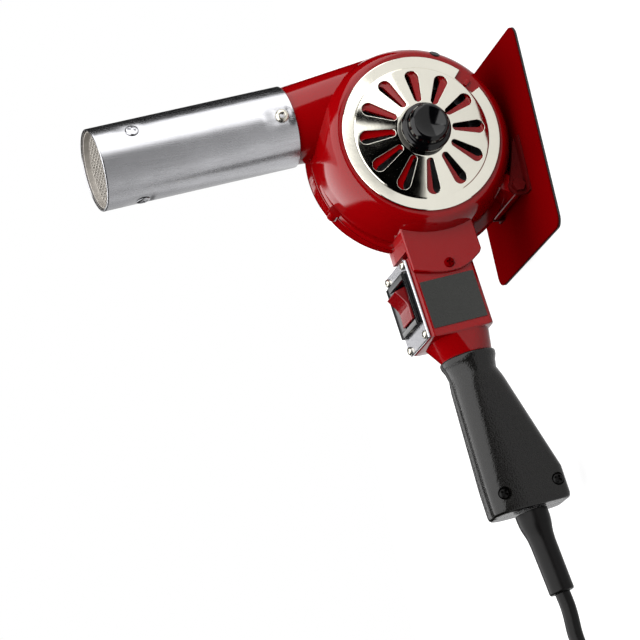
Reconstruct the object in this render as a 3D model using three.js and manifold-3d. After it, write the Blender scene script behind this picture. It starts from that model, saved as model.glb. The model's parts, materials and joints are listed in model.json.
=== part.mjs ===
// Hot air tool standing on its rear plate: drum blower with an intake shutter, heater barrel,
// switch housing, grip, mains lead and a tilting stand. Millimetres, +Z up, bench at z = 0.
// The gun is modelled in its own frame: origin on the fan axis, +Z along the barrel, -X down the
// handle, fan axis along Y with the shutter on the -Y side. A lean about Y then sets it on the stand.
import * as THREE from "three";
import { mergeVertices } from "three/addons/utils/BufferGeometryUtils.js";
import Module from "manifold-3d";

const wasm = await Module();
wasm.setup();

// Clearances
const FIT = 0.3; // beside fastened parts
const SEAT = 0.15; // under screw heads and seated plates
const RUN = 0.5; // between parts that move past each other
const SEAM = 0.3; // between the two halves of a split casting
const REAR_CLEAR = 0.9; // between the drum's back and the stand plate

// Stand
const STAND_LENGTH = 129.8;
const STAND_WIDTH = 126.4;
const STAND_CORNER = 7;
const PLATE_T = 1.2;
const PAD_T = 1.2;
const PIVOT_LIFT = 6.1; // hinge bolt above the plate
const PIVOT_BACK = -26.1; // hinge bolt from the plate's centre
const LEAN = 5.5; // degrees, barrel from square to the plate
const EAR_T = 2.4;
const EAR_R = 5.5;
const EAR_FOOT_T = 1.4;
const EAR_FOOT_W = 9;
const EAR_REACH = 30; // foot length beyond the bolt
const EAR_TOE = 2.1; // height of the cheek's far end
const BOLT_R = 2.5;
const BOLT_HEAD_R = 4.2;
const BOLT_HEAD_T = 3.2;
const BOLT_END = 2; // thread past the nut

// Drum housing
const DRUM_R = 61;
const DRUM_WALL = 2.6;
const FACE_Y = 36.3; // near flat face from the split
const FACE_R = 51;
const SHOULDER = 26; // depth of the rounded near shoulder
const CONE_IN_R = 17;
const CONE_OUT_R = 41.5;
const CONE_RISE = 6;
const FAR_Y = 28; // far face from the split
const FAR_FACE_R = 46;
const FAR_SHOULDER = 16;
const RIM_FAR_R = 64;
const RIM_FAR_T = 4.5;
const RIM_STEP = 0.6; // near rim inside the far rim
const RIM_NEAR_T = 4;
const RIM_SHIFT_X = -2.5; // rim centre from the fan axis
const RIM_SHIFT_Z = -1.5;
const LUG_R = 4; // screw lugs on the rim
const LUG_INSET = 2; // lug centres inside the rim
const LUG_ANGLES = [245, 35]; // degrees about the fan axis, from +X towards -Z
const PIVOT_X = -43; // stand hinge in the gun frame
const PIVOT_Z = -52.5;
const PIVOT_LUG_R = 5;
const PIVOT_LUG_HALF = 24;
const PLUG_R = 3.3; // small plug in the shoulder
const PLUG_ANGLE = 30;
const PLUG_Y = -26.5;
const PLUG_SINK = 1.3; // its rim below the drum's radius
const PLUG_DEPTH = 7;
const PLUG_DOME = 0.4;

// Barrel neck and barrel
const NOZZLE_RISE = 34; // barrel axis above the fan axis
const NECK_ROOT_HALF_H = 26.5;
const NECK_ROOT_HALF_W = 29.5;
const NECK_ROOT_Y = -3.5; // its middle, towards the near side
const NECK_ROOT_CORNER = 20;
const NECK_ROOT_Z = 10;
const NECK_WALL = 2.4;
const BARREL_D = 50.8;
const BARREL_WALL = 1.2;
const BARREL_START = 69; // rear end from the fan axis
const BARREL_LENGTH = 123.7;
const SPIGOT_LENGTH = 21;
const REAR_SCREW_BACK = 9; // from the barrel's rear end
const FRONT_SCREW_BACK = 24; // from the barrel's tip
const FRONT_SCREW_TURN = -30; // degrees from the rear screws
const BARREL_EDGE = 0.5; // rounding of the tip
const SCREEN_RECESS = 5;
const SCREEN_T = 1.2;
const SCREEN_SKIRT = 24;
const SCREEN_WALL = 1;
const MESH_PITCH = 7.4;
const MESH_HOLE_R = 3;
const MESH_EDGE = 0.4; // metal left between a hole and the skirt
const SLEEVE_WALL = 1;
const CORE_R = 13;
const CORE_BASE_T = 6;
const CORE_LENGTH = 66;
const CORE_PORTS = 6;
const CORE_PORT_R = 2.6;
const HEATER_R = 16.5; // centre line of the heating wire
const HEATER_WIRE_R = 1;
const HEATER_TURNS = 6;
const HEATER_PITCH = 9;
const HEATER_STEPS = 8; // per turn
const HEATER_SIDES = 5;

// Intake shutter and knob
const SLOT_COUNT = 12;
const SLOT_IN = 18;
const SLOT_OUT = 39.8;
const SLOT_IN_W = 4.8;
const SLOT_OUT_W = 8.6;
const SHUTTER_R = 49.4;
const SHUTTER_T = 1.2;
const SHUTTER_ANGLE = 7; // first slot as set, degrees
const OPEN_TRAVEL = 7; // degrees from the setting to fully open
const SHUT_TRAVEL = 8; // degrees from the setting to shut
const STOP_ANGLE = 57;
const STOP_W = 2.4;
const STOP_R = 45.5;
const STOP_L = 4;
const NOTCH_R = 42.6;
const NOTCH_CLEAR = 0.3;
const KNOB_R = 15.6;
const KNOB_SKIRT = 6.5;
const KNOB_TOP_R = 12.6;
const KNOB_HEIGHT = 20;
const KNOB_EDGE = 1; // rounding of its edges
const KNOB_DOME = 0.7;
const STUD_GRIP = 4; // stud inside the knob's upper part
const STUD_R = 2.5;
const STUD_NUT_R = 6;
const STUD_NUT_T = 3.5;

// Blower and motor
const WHEEL_R = 46;
const WHEEL_EYE_R = 34;
const WHEEL_NEAR_Y = -29;
const WHEEL_FAR_Y = 6;
const WHEEL_T = 2;
const BLADES = 14;
const BLADE_T = 1.4;
const BLADE_INSET = 0.5;
const HUB_R = 9;
const HUB_L = 16;
const SHAFT_R = 4;
const BEARING_R = 8;
const BEARING_L = 5;
const BOSS_R = 11;
const MOTOR_HOLE_R = 20;
const MOTOR_PLATE_T = 2.5;
const COVER_R = 40;
const COVER_WALL = 2.2;
const COVER_DEPTH = 34;
const COVER_EDGE = 4; // rounding of its far edge
const COVER_EYE = 2; // opening beside the shaft
const VENT_COUNT = 8;
const VENT_W = 4;
const VENT_MARGIN = 4; // from the bearing boss and the screws
const STATOR_L = 14;
const STATOR_R = 33;
const STATOR_YOKE = 9;
const POLE_W = 16;
const AIR_GAP = 0.5;
const ROTOR_R = 15;
const WINDING_T = 4;
const COVER_SCREW_R = 30;

// Switch housing
const HOUSING_TOP = -66;
const HOUSING_STRAIGHT = -120.5;
const HOUSING_TOP_SET = 15; // front edge set back at the top
const HOUSING_TOP_L = 4; // length of that slope
const HOUSING_END = -133.2;
const HOUSING_FRONT = 29.3;
const HOUSING_BACK = -12;
const HOUSING_HALF_W = 22;
const HOUSING_CORNER = 3;
const HOUSING_WALL = 2.5;
const HOUSING_FRONT_WALL = 4;
const HOUSING_END_R = 16;
const NECKDOWN_X = -121.5; // shoulder above the grip
const NECKDOWN_FRONT = 24.8;
const NECKDOWN_BACK = -11.8;
const NECKDOWN_HALF_W = 21;
const NECKDOWN_CORNER = 14;
const HANDLE_Z = 4; // centre of the handle's upper end
const TANG_R = 10.5;
const TANG_L = 26;
const TANG_BORE_R = 7.5;
const COLLAR_WALL = 2.7;
const COLLAR_FRONT = 28;
const COLLAR_BACK = -18;
const COLLAR_FAR_ROOT_Z = 24.3; // front edge of the far wall, at the drum
const COLLAR_FAR_X = -66; // and where it stops sloping back
const COLLAR_FAR_Z = 13.4;
const COLLAR_ROOT = -50.6; // inside the drum
const COLLAR_FRONT_END = -79;
const COLLAR_LOW_END = -84.3;
const COLLAR_LOW_Z = 5;
const COLLAR_LOW_W = 6;
const COLLAR_BACK_END = -76;
const COLLAR_SCREW_X = -79.2;
const COLLAR_SCREW_Z = 4.7;
const WIRE_HOLE_R = 9;
const LABEL_T = 0.5;
const LABEL_TOP = -86.5;
const LABEL_L = 29.5;
const LABEL_FRONT = 26;
const LABEL_BACK = -9;

// Switch
const SWITCH_PLATE_X = -95;
const SWITCH_PLATE_L = 51;
const SWITCH_PLATE_W = 43.6;
const SWITCH_PLATE_T = 1.5;
const SWITCH_CORNER = 2; // corners of the plate and the bezel
const PLATE_SCREW_END = 3.2; // from the plate's short edges
const PLATE_SCREW_SIDE = 4; // from the plate's long edges
const PLATE_SCREW_HEAD_R = 2.6;
const SWITCH_X = -93;
const BEZEL_L = 34;
const BEZEL_W = 39;
const BEZEL_T = 2.2;
const SWITCH_BODY_L = 28;
const SWITCH_BODY_W = 31;
const SWITCH_BODY_DEPTH = 20;
const ROCKER_L = 20;
const ROCKER_W = 20;
const ROCKER_FACE = 5.4; // valley of the rocker's face above its pivot
const ROCKER_V = 18; // degrees, slope of each half of the face
const ROCKER_THROW = 14; // degrees each way from the middle
const ROCKER_DEPTH = 5; // body below the pivot
const ROCKER_FOOT = 0.6; // foot length as a share of the face
const ROCKER_PIVOT = 5.2; // pivot below the bezel's face
const TRUNNION_R = 1.6;
const TRUNNION_L = 2.5;

// Grip and strain relief
const GRIP_RIM_R = 17.5;
const GRIP_RIM_L = 3;
const GRIP_THROAT_R = 15;
const GRIP_THROAT_L = 11; // from the top rim
const GRIP_LENGTH = 100.5;
const GRIP_END_HALF = 24.8;
const GRIP_HALF_T = 15;
const GRIP_END_Z = -3.4;
const GRIP_CORNER = 8.5;
const GRIP_END_ROUND = 2;
const GRIP_FULL_L = 20; // full section above the lower end
const CHANNEL_R = 5.5;
const GRIP_SCREW_UP = 12; // from the grip's lower end
const GRIP_SCREW_FRONT = 13;
const GRIP_SCREW_BACK = -21.7;
const GRIP_HEAD_R = 3.8;
const GRIP_HEAD_T = 2.4;
const GRIP_SHANK_R = 1.8;
const GRIP_SHANK_L = 18;
const RELIEF_Z = -3.8;
const RELIEF_TILT = 3.2; // degrees
const RELIEF_COLLAR_R = 10.2;
const RELIEF_COLLAR_L = 10;
const RELIEF_TAPER = 6;
const RELIEF_R = 7.8;
const RELIEF_L = 52;
const RELIEF_EDGE = 0.8; // bevel of its end

// Screws
const SCREW_R = 1.6;
const SCREW_HEAD_R = 3.1;
const SCREW_HEAD_T = 1.7;
const SCREW_L = 5;

// Mains lead and plug
const CORD_R = 4.7;
const CORD_SIDES = 10;
const CORD_STEPS = 18;
const COIL_R = 51; // middle of the turns
const COIL_PITCH = 10;
const COIL_TURNS = 5; // in two layers
const COIL_X = -396; // centre of the coil
const COIL_Y = 49.5;
const PLUG_X = -483; // where the plug lies
const PLUG_LIE_Y = 52;
const COIL_LIFT = 1.3; // first layer above the bench
const COIL_STEPS = 24;
const COIL_SIDES = 6;
const LEAD_ROUTE = [
  [-303, 0, 28.6], [-320, -1.5, 25.2], [-337, -5, 19.6], [-353, -9.3, 12.6], [-365, -12.2, 8.4],
];
const TAIL_ROUTE = [
  [-433, -17.5, 14], [-451, -12, 10.6], [-466, -1, 8.2], [-476, 14, 8], [-481.5, 30, 10],
];
const TIE_T = 0.8;
const TIE_W = 12;
const TIE_ANGLE = 60; // degrees round the coil
const TIE_CLEAR = 0.4;
const PLUG_L = 38;
const PLUG_W = 28;
const PLUG_H = 23;
const PLUG_NECK_R = 7;
const PLUG_CORNER = 6;
const BLADE_L = 17;
const BLADE_W = 6.3;
const BLADE_PLATE_T = 1.5;
const BLADE_SPREAD = 12.7;
const GROUND_R = 2.4;
const GROUND_L = 19;
const GROUND_DROP = 11.9;
const BLADE_UP = 3;

// Sides of round forms
const DRUM_SIDES = 36;
const SHOULDER_STEPS = 4;
const SLOT_STEPS = 3;
const BARREL_SIDES = 36;
const MOTOR_SIDES = 28;
const KNOB_SIDES = 24;
const BORE_SIDES = 20;
const LUG_SIDES = 14;
const SHAFT_SIDES = 12;
const HOLE_SIDES = 8;
const SCREW_SIDES = 8;
const CORNER_STEPS = 5;

// Tools of the cuts
const THROUGH = 1; // past a face
const SPAN = 400; // beyond the gun

// Solids from three.js geometry
function solidOf(geometry) {
  const flat = geometry.index ? geometry.toNonIndexed() : geometry;
  const bare = new THREE.BufferGeometry();
  bare.setAttribute("position", flat.getAttribute("position").clone());
  const merged = mergeVertices(bare, 1e-4);
  const index = merged.index.array;
  const faces = [];
  for (let i = 0; i < index.length; i += 3) {
    const [a, b, c] = [index[i], index[i + 1], index[i + 2]];
    if (a !== b && b !== c && c !== a) faces.push([a, b, c]);
  }
  const make = (list) =>
    new wasm.Manifold(
      new wasm.Mesh({
        numProp: 3,
        vertProperties: new Float32Array(merged.attributes.position.array),
        triVerts: new Uint32Array(list.flat()),
      }),
    );
  const made = make(faces);
  return made.volume() < 0 ? make(faces.map(([a, b, c]) => [a, c, b])) : made;
}

function geometryOf(made) {
  const mesh = made.getMesh();
  const geometry = new THREE.BufferGeometry();
  const positions = new Float32Array(mesh.vertProperties);
  geometry.setAttribute("position", new THREE.BufferAttribute(positions, 3));
  geometry.setIndex(new THREE.BufferAttribute(new Uint32Array(mesh.triVerts), 1));
  geometry.computeVertexNormals();
  return geometry;
}

const join = (first, ...others) =>
  geometryOf(others.reduce((sum, other) => sum.add(solidOf(other)), solidOf(first)));
const cut = (base, ...tools) =>
  geometryOf(tools.reduce((rest, tool) => rest.subtract(solidOf(tool)), solidOf(base)));
const keep = (base, region) => geometryOf(solidOf(base).intersect(solidOf(region)));
const rad = THREE.MathUtils.degToRad;

function box(x0, x1, y0, y1, z0, z1) {
  const geometry = new THREE.BoxGeometry(x1 - x0, y1 - y0, z1 - z0);
  return geometry.translate((x0 + x1) / 2, (y0 + y1) / 2, (z0 + z1) / 2);
}

// A round bar along Y
function rod(radius, y0, y1, sides = HOLE_SIDES) {
  const geometry = new THREE.CylinderGeometry(radius, radius, y1 - y0, sides);
  return geometry.translate(0, (y0 + y1) / 2, 0);
}

// A turned solid about Y whose profile of [radius, y] starts and ends on the axis
function turned(profile, segments) {
  return new THREE.LatheGeometry(profile.map(([r, y]) => new THREE.Vector2(r, y)), segments);
}

// A turned ring about Y whose profile closes on itself
function ring(profile, segments) {
  return turned([...profile, profile[0]], segments);
}

const tube = (r0, r1, y0, y1, segments) =>
  ring([[r0, y0], [r1, y0], [r1, y1], [r0, y1]], segments);
const alongZ = (geometry) => geometry.rotateX(Math.PI / 2);
const alongX = (geometry) => geometry.rotateZ(-Math.PI / 2);

// A quarter of an ellipse as profile points, from the face towards the rim
function quarter(r, y, dr, dy, steps) {
  const points = [];
  for (let i = 1; i <= steps; i += 1) {
    const a = (i / steps) * (Math.PI / 2);
    points.push([r + dr * Math.sin(a), y + dy * (1 - Math.cos(a))]);
  }
  return points;
}

// A prism along Y from an outline of [x, z] points
function prismY(outline, y0, y1) {
  const shape = new THREE.Shape(outline.map(([x, z]) => new THREE.Vector2(x, -z)));
  const geometry = new THREE.ExtrudeGeometry(shape, { depth: y1 - y0, bevelEnabled: false });
  return geometry.rotateX(-Math.PI / 2).translate(0, y0, 0);
}

// A plate along Z with rounded corners
function plateZ(length, width, corner, z0, z1, steps = CORNER_STEPS) {
  const shape = new THREE.Shape();
  const [x, y] = [length / 2 - corner, width / 2 - corner];
  shape.absarc(x, y, corner, 0, Math.PI / 2);
  shape.absarc(-x, y, corner, Math.PI / 2, Math.PI);
  shape.absarc(-x, -y, corner, Math.PI, Math.PI * 1.5);
  shape.absarc(x, -y, corner, Math.PI * 1.5, Math.PI * 2);
  const settings = { depth: z1 - z0, bevelEnabled: false, curveSegments: steps };
  return new THREE.ExtrudeGeometry(shape, settings).translate(0, 0, z0);
}

// A solid skinned over rings of equal point counts
function loft(rings) {
  const count = rings[0].length;
  const last = (rings.length - 1) * count;
  const index = [];
  for (let a = 0; a < last; a += 1) {
    const b = (a % count) + 1 === count ? a + 1 - count : a + 1;
    index.push(a, b, a + count, b, b + count, a + count);
  }
  for (let j = 1; j + 1 < count; j += 1) {
    index.push(0, j + 1, j, last, last + j, last + j + 1);
  }
  const geometry = new THREE.BufferGeometry().setFromPoints(rings.flat());
  return geometry.setIndex(index);
}

// A rounded rectangle square to X
function roundRing(x, z, halfZ, halfY, corner, steps = CORNER_STEPS) {
  const points = [];
  const r = Math.min(corner, 0.99 * halfZ, 0.99 * halfY);
  for (let i = 0; i < 4 * (steps + 1); i += 1) {
    const side = Math.floor(i / (steps + 1));
    const a = (side + (i % (steps + 1)) / steps) * (Math.PI / 2);
    const cy = (side === 0 || side === 3 ? 1 : -1) * (halfY - r);
    const cz = (side < 2 ? 1 : -1) * (halfZ - r);
    points.push(new THREE.Vector3(x, cy + r * Math.cos(a), z + cz + r * Math.sin(a)));
  }
  return points;
}

// Rings of a tube that follows points, square to its run
function tubeRings(points, radius, sides) {
  return points.map((point, i) => {
    const ahead = points[Math.min(i + 1, points.length - 1)];
    const behind = points[Math.max(i - 1, 0)];
    const run = ahead.clone().sub(behind).normalize();
    const across = new THREE.Vector3(0, 0, 1).cross(run).normalize();
    const up = run.clone().cross(across);
    return Array.from({ length: sides }, (_, k) => {
      const a = (k / sides) * 2 * Math.PI;
      const side = across.clone().multiplyScalar(radius * Math.cos(a));
      return point.clone().add(side).addScaledVector(up, radius * Math.sin(a));
    });
  });
}

// A pan head screw along Y: head at -Y, shank towards +Y, seat at y = 0
function screw(headR, headT, shankR, shankL) {
  return turned([[0, -headT], [headR * 0.7, -headT], [headR, -headT * 0.5], [headR, 0], [shankR, 0],
    [shankR, shankL], [0, shankL]], SCREW_SIDES);
}

// Materials
function finish(color, roughness, metalness) {
  return () => new THREE.MeshStandardMaterial({ color, roughness, metalness });
}
const paint = finish(0x9c0d12, 0.25, 0.1);
const steel = finish(0xc4c2bd, 0.32, 1);
const chrome = finish(0xe4e0d6, 0.15, 1);
const zinc = finish(0xa9a59a, 0.4, 1);
const brass = finish(0xb89b55, 0.35, 1);
const copper = finish(0xa8623a, 0.45, 1);
const phenolic = finish(0x141416, 0.3, 0);
const plastic = finish(0x1a1a1c, 0.55, 0);
const rubber = finish(0x161617, 0.75, 0);
const ceramic = finish(0xd8d0bd, 0.8, 0);
const mica = finish(0x9a8560, 0.5, 0);
const redPlastic = finish(0xa80c12, 0.3, 0);

const part = new THREE.Group();
const gun = new THREE.Group();
part.add(gun);

function add(group, name, geometry, material) {
  const mesh = new THREE.Mesh(geometryOf(solidOf(geometry)), material);
  mesh.name = name;
  group.add(mesh);
}

// Places that several parts share
const spigotR = BARREL_D / 2 - BARREL_WALL - FIT;
const tipZ = BARREL_START + BARREL_LENGTH;
const rearScrewZ = BARREL_START + REAR_SCREW_BACK;
const frontScrewZ = tipZ - FRONT_SCREW_BACK;
const thirds = [0, 1, 2];
const rearScrewAngles = [0, 180];
const frontScrewAngles = thirds.map((k) => FRONT_SCREW_TURN + 120 * k);
const bezelBack = HOUSING_FRONT + SEAT + SWITCH_PLATE_T + SEAT;
const rockerZ = bezelBack + BEZEL_T - ROCKER_PIVOT;
const plateScrewX = SWITCH_PLATE_L / 2 - PLATE_SCREW_END;
const plateScrewY = SWITCH_PLATE_W / 2 - PLATE_SCREW_SIDE;
const plateScrews = [[1, -1], [1, 1], [-1, -1], [-1, 1]];
const plateTop = PAD_T + SEAT + PLATE_T;
const pivotTop = plateTop + PIVOT_LIFT;
const lean = rad(LEAN);
const fanX = PIVOT_BACK - PIVOT_X * Math.cos(lean) + PIVOT_Z * Math.sin(lean);
const fanZ = pivotTop - PIVOT_X * Math.sin(lean) - PIVOT_Z * Math.cos(lean);
const rearFlat = fanZ - plateTop - REAR_CLEAR;
const collarHalf = HOUSING_HALF_W + FIT + COLLAR_WALL;
const coverFar = FAR_Y + SEAT + COVER_DEPTH;
const gripTop = HOUSING_END - FIT;
const gripEnd = gripTop - GRIP_LENGTH;
const gripScrewX = gripEnd + GRIP_SCREW_UP;
const reliefX = gripEnd - FIT - RELIEF_COLLAR_R * Math.sin(rad(RELIEF_TILT));
const rimNearR = RIM_FAR_R - RIM_STEP;
const lugRadius = RIM_FAR_R - LUG_INSET;
const coilSpread = (COIL_TURNS * COIL_PITCH) / 4; // either side of the middle of the turns
const coilOutR = COIL_R + coilSpread;
const coilLow = CORD_R + COIL_LIFT;

// A radial bar on the barrel, turned about the barrel's axis from the near side
function barrelRadial(geometry, angle, z) {
  return geometry.rotateZ(rad(-angle)).translate(NOZZLE_RISE, 0, z);
}

// A tapered intake slot with round ends, lying along +X and cut through along Y
function slotCutter(angle, y0, y1) {
  const [inR, outR] = [SLOT_IN_W / 2, SLOT_OUT_W / 2];
  const shape = new THREE.Shape();
  shape.absarc(SLOT_IN + inR, 0, inR, Math.PI / 2, Math.PI * 1.5);
  shape.absarc(SLOT_OUT - outR, 0, outR, -Math.PI / 2, Math.PI / 2);
  const settings = { depth: y1 - y0, bevelEnabled: false, curveSegments: SLOT_STEPS };
  const geometry = new THREE.ExtrudeGeometry(shape, settings);
  return geometry.rotateX(-Math.PI / 2).translate(0, y0, 0).rotateY(rad(angle));
}

function slotRow(first, y0, y1) {
  const pitch = 360 / SLOT_COUNT;
  return Array.from({ length: SLOT_COUNT }, (_, k) => slotCutter(first + pitch * k, y0, y1));
}

// The drum as a turned solid, drawn in by a wall for its inside
function drum(wall) {
  const near = -FACE_Y + wall;
  const far = FAR_Y - wall;
  const farDepth = wall - FAR_SHOULDER;
  const farShoulder = quarter(FAR_FACE_R - wall, far, DRUM_R - FAR_FACE_R, farDepth, SHOULDER_STEPS);
  return turned([
    [0, near - CONE_RISE], [CONE_IN_R, near - CONE_RISE], [CONE_OUT_R, near], [FACE_R - wall / 2, near],
    ...quarter(FACE_R - wall / 2, near, DRUM_R - FACE_R - wall / 2, SHOULDER - wall, SHOULDER_STEPS),
    ...farShoulder.reverse(), [FAR_FACE_R - wall, far], [0, far],
  ], DRUM_SIDES);
}

// The collar under the drum that holds the switch housing, cut back on the far side
function collar() {
  const rear = [
    [COLLAR_LOW_END, COLLAR_LOW_Z], [COLLAR_LOW_END, COLLAR_LOW_Z - COLLAR_LOW_W],
    [COLLAR_BACK_END, COLLAR_BACK], [COLLAR_ROOT, COLLAR_BACK],
  ];
  const near = [[COLLAR_ROOT, COLLAR_FRONT], [COLLAR_FRONT_END, COLLAR_FRONT]];
  const far = [
    [COLLAR_ROOT, COLLAR_FAR_ROOT_Z], [COLLAR_FAR_X, COLLAR_FAR_Z], [COLLAR_FRONT_END, COLLAR_FAR_Z],
  ];
  return join(prismY([...near, ...rear], -collarHalf, 0), prismY([...far, ...rear], 0, collarHalf));
}

// The neck from the drum to the barrel, wide at the drum, drawn in by a wall for its inside
function neck(wall) {
  const end = spigotR - wall;
  const rings = [
    roundRing(0, 0, NECK_ROOT_HALF_H - wall, NECK_ROOT_HALF_W - wall, NECK_ROOT_CORNER - wall),
    roundRing(BARREL_START - NECK_ROOT_Z, 0, end, end, end),
  ];
  rings[0].forEach((point) => point.setY(point.y + NECK_ROOT_Y));
  return loft(rings).rotateY(-Math.PI / 2).translate(NOZZLE_RISE, 0, NECK_ROOT_Z);
}

// The spigot inside the barrel's rear end
function spigot(radius, z0, z1) {
  return alongZ(rod(radius, z0, z1, BARREL_SIDES)).translate(NOZZLE_RISE, 0, 0);
}

// A bar along Y at each screw lug of the rim
function atLugs(radius, y0, y1, sides) {
  return LUG_ANGLES.map((angle) => rod(radius, y0, y1, sides).translate(lugRadius, 0, 0).rotateY(rad(angle)));
}

function rim(radius, y0, y1) {
  return rod(radius, y0, y1, DRUM_SIDES).translate(RIM_SHIFT_X, 0, RIM_SHIFT_Z);
}

function housing() {
  const hinge = rod(PIVOT_LUG_R, -PIVOT_LUG_HALF, PIVOT_LUG_HALF, LUG_SIDES).translate(PIVOT_X, 0, PIVOT_Z);
  const reach = Math.hypot(PIVOT_X, PIVOT_Z);
  const web = box(DRUM_R - DRUM_WALL, reach, -PIVOT_LUG_HALF, PIVOT_LUG_HALF, -PIVOT_LUG_R, PIVOT_LUG_R);
  web.rotateY(Math.atan2(-PIVOT_Z, PIVOT_X));
  const spigotEnd = BARREL_START + SPIGOT_LENGTH;
  const outer = join(
    drum(0), neck(0), spigot(spigotR, BARREL_START - FIT, spigotEnd), collar(), hinge, web,
    rim(rimNearR, -RIM_NEAR_T, 0), rim(RIM_FAR_R, 0, RIM_FAR_T),
    ...atLugs(LUG_R, -RIM_NEAR_T, RIM_FAR_T, LUG_SIDES),
  );
  const socketHalf = HOUSING_HALF_W + FIT;
  const socket = box(
    COLLAR_LOW_END - THROUGH, HOUSING_TOP + FIT, -socketHalf, socketHalf,
    HOUSING_BACK - FIT, COLLAR_FRONT + THROUGH,
  );
  const wires = alongX(rod(WIRE_HOLE_R, HOUSING_TOP - THROUGH, COLLAR_ROOT, LUG_SIDES));
  const screwHoles = rearScrewAngles.map((angle) =>
    barrelRadial(rod(SCREW_R + FIT, -spigotR - THROUGH, NECK_WALL - spigotR + THROUGH), angle, rearScrewZ));
  const back = box(-SPAN, SPAN, -SPAN, SPAN, -SPAN, -rearFlat).rotateY(lean);
  return cut(
    outer, drum(DRUM_WALL), neck(NECK_WALL),
    spigot(spigotR - NECK_WALL, BARREL_START - FIT, spigotEnd + THROUGH),
    socket, wires.translate(0, 0, HANDLE_Z), back, ...screwHoles,
    ...atLugs(SCREW_R + FIT, -RIM_NEAR_T + THROUGH, RIM_FAR_T + THROUGH, HOLE_SIDES),
    ...atLugs(SCREW_HEAD_R + FIT, RIM_FAR_T, FAR_Y, LUG_SIDES),
    rod(BOLT_R + FIT, -PIVOT_LUG_HALF - THROUGH, PIVOT_LUG_HALF + THROUGH).translate(PIVOT_X, 0, PIVOT_Z),
  );
}

// The half of a split casting or moulding on one side of the seam
function halfOf(whole, side) {
  const [y0, y1] = side < 0 ? [-SPAN, -SEAM / 2] : [SEAM / 2, SPAN];
  return keep(whole, box(-SPAN, SPAN, y0, y1, -SPAN, SPAN));
}

function shells() {
  const whole = housing();
  const hubY = -FACE_Y - CONE_RISE;
  const stop = box(STOP_R - STOP_L / 2, STOP_R + STOP_L / 2, -FACE_Y - RUN - SHUTTER_T, -FACE_Y + THROUGH,
    -STOP_W / 2, STOP_W / 2).rotateY(rad(STOP_ANGLE));
  const plugFrom = DRUM_R - PLUG_SINK - PLUG_DEPTH;
  const plugHole = alongX(rod(PLUG_R + FIT, plugFrom - 2 * FIT, SPAN, SHAFT_SIDES));
  const near = cut(
    join(halfOf(whole, -1), stop),
    ...slotRow(SHUTTER_ANGLE - OPEN_TRAVEL, hubY - THROUGH, -FACE_Y + DRUM_WALL + THROUGH),
    rod(STUD_R + RUN, hubY - THROUGH, hubY + DRUM_WALL + THROUGH, SHAFT_SIDES),
    rod(SCREW_R + FIT, -collarHalf - THROUGH, -HOUSING_HALF_W).translate(COLLAR_SCREW_X, 0, COLLAR_SCREW_Z),
    plugHole.translate(0, PLUG_Y, 0).rotateY(rad(PLUG_ANGLE)),
  );
  const motorHole = rod(MOTOR_HOLE_R, FAR_Y - DRUM_WALL - THROUGH, FAR_Y + THROUGH, BORE_SIDES);
  add(gun, "shell_near", near, paint());
  add(gun, "shell_far", cut(halfOf(whole, 1), motorHole), paint());
  LUG_ANGLES.forEach((angle, k) => {
    const length = RIM_FAR_T + RIM_NEAR_T - 2 * THROUGH;
    const piece = screw(SCREW_HEAD_R, SCREW_HEAD_T, SCREW_R, length).rotateX(Math.PI);
    piece.translate(lugRadius, RIM_FAR_T + SEAT, 0).rotateY(rad(angle));
    add(gun, `shell_screw_${k + 1}`, piece, zinc());
  });
  const collarScrew = screw(SCREW_HEAD_R, SCREW_HEAD_T, SCREW_R, SCREW_L);
  collarScrew.translate(COLLAR_SCREW_X, -collarHalf - SEAT, COLLAR_SCREW_Z);
  add(gun, "collar_screw", collarScrew, paint());
  const plugTop = plugFrom + PLUG_DEPTH;
  const plug = alongX(turned(
    [[0, plugFrom], [PLUG_R, plugFrom], [PLUG_R, plugTop], [0, plugTop + PLUG_DOME]], SHAFT_SIDES,
  ));
  add(gun, "shoulder_plug", plug.translate(0, PLUG_Y, 0).rotateY(rad(PLUG_ANGLE)), rubber());
}

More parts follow.
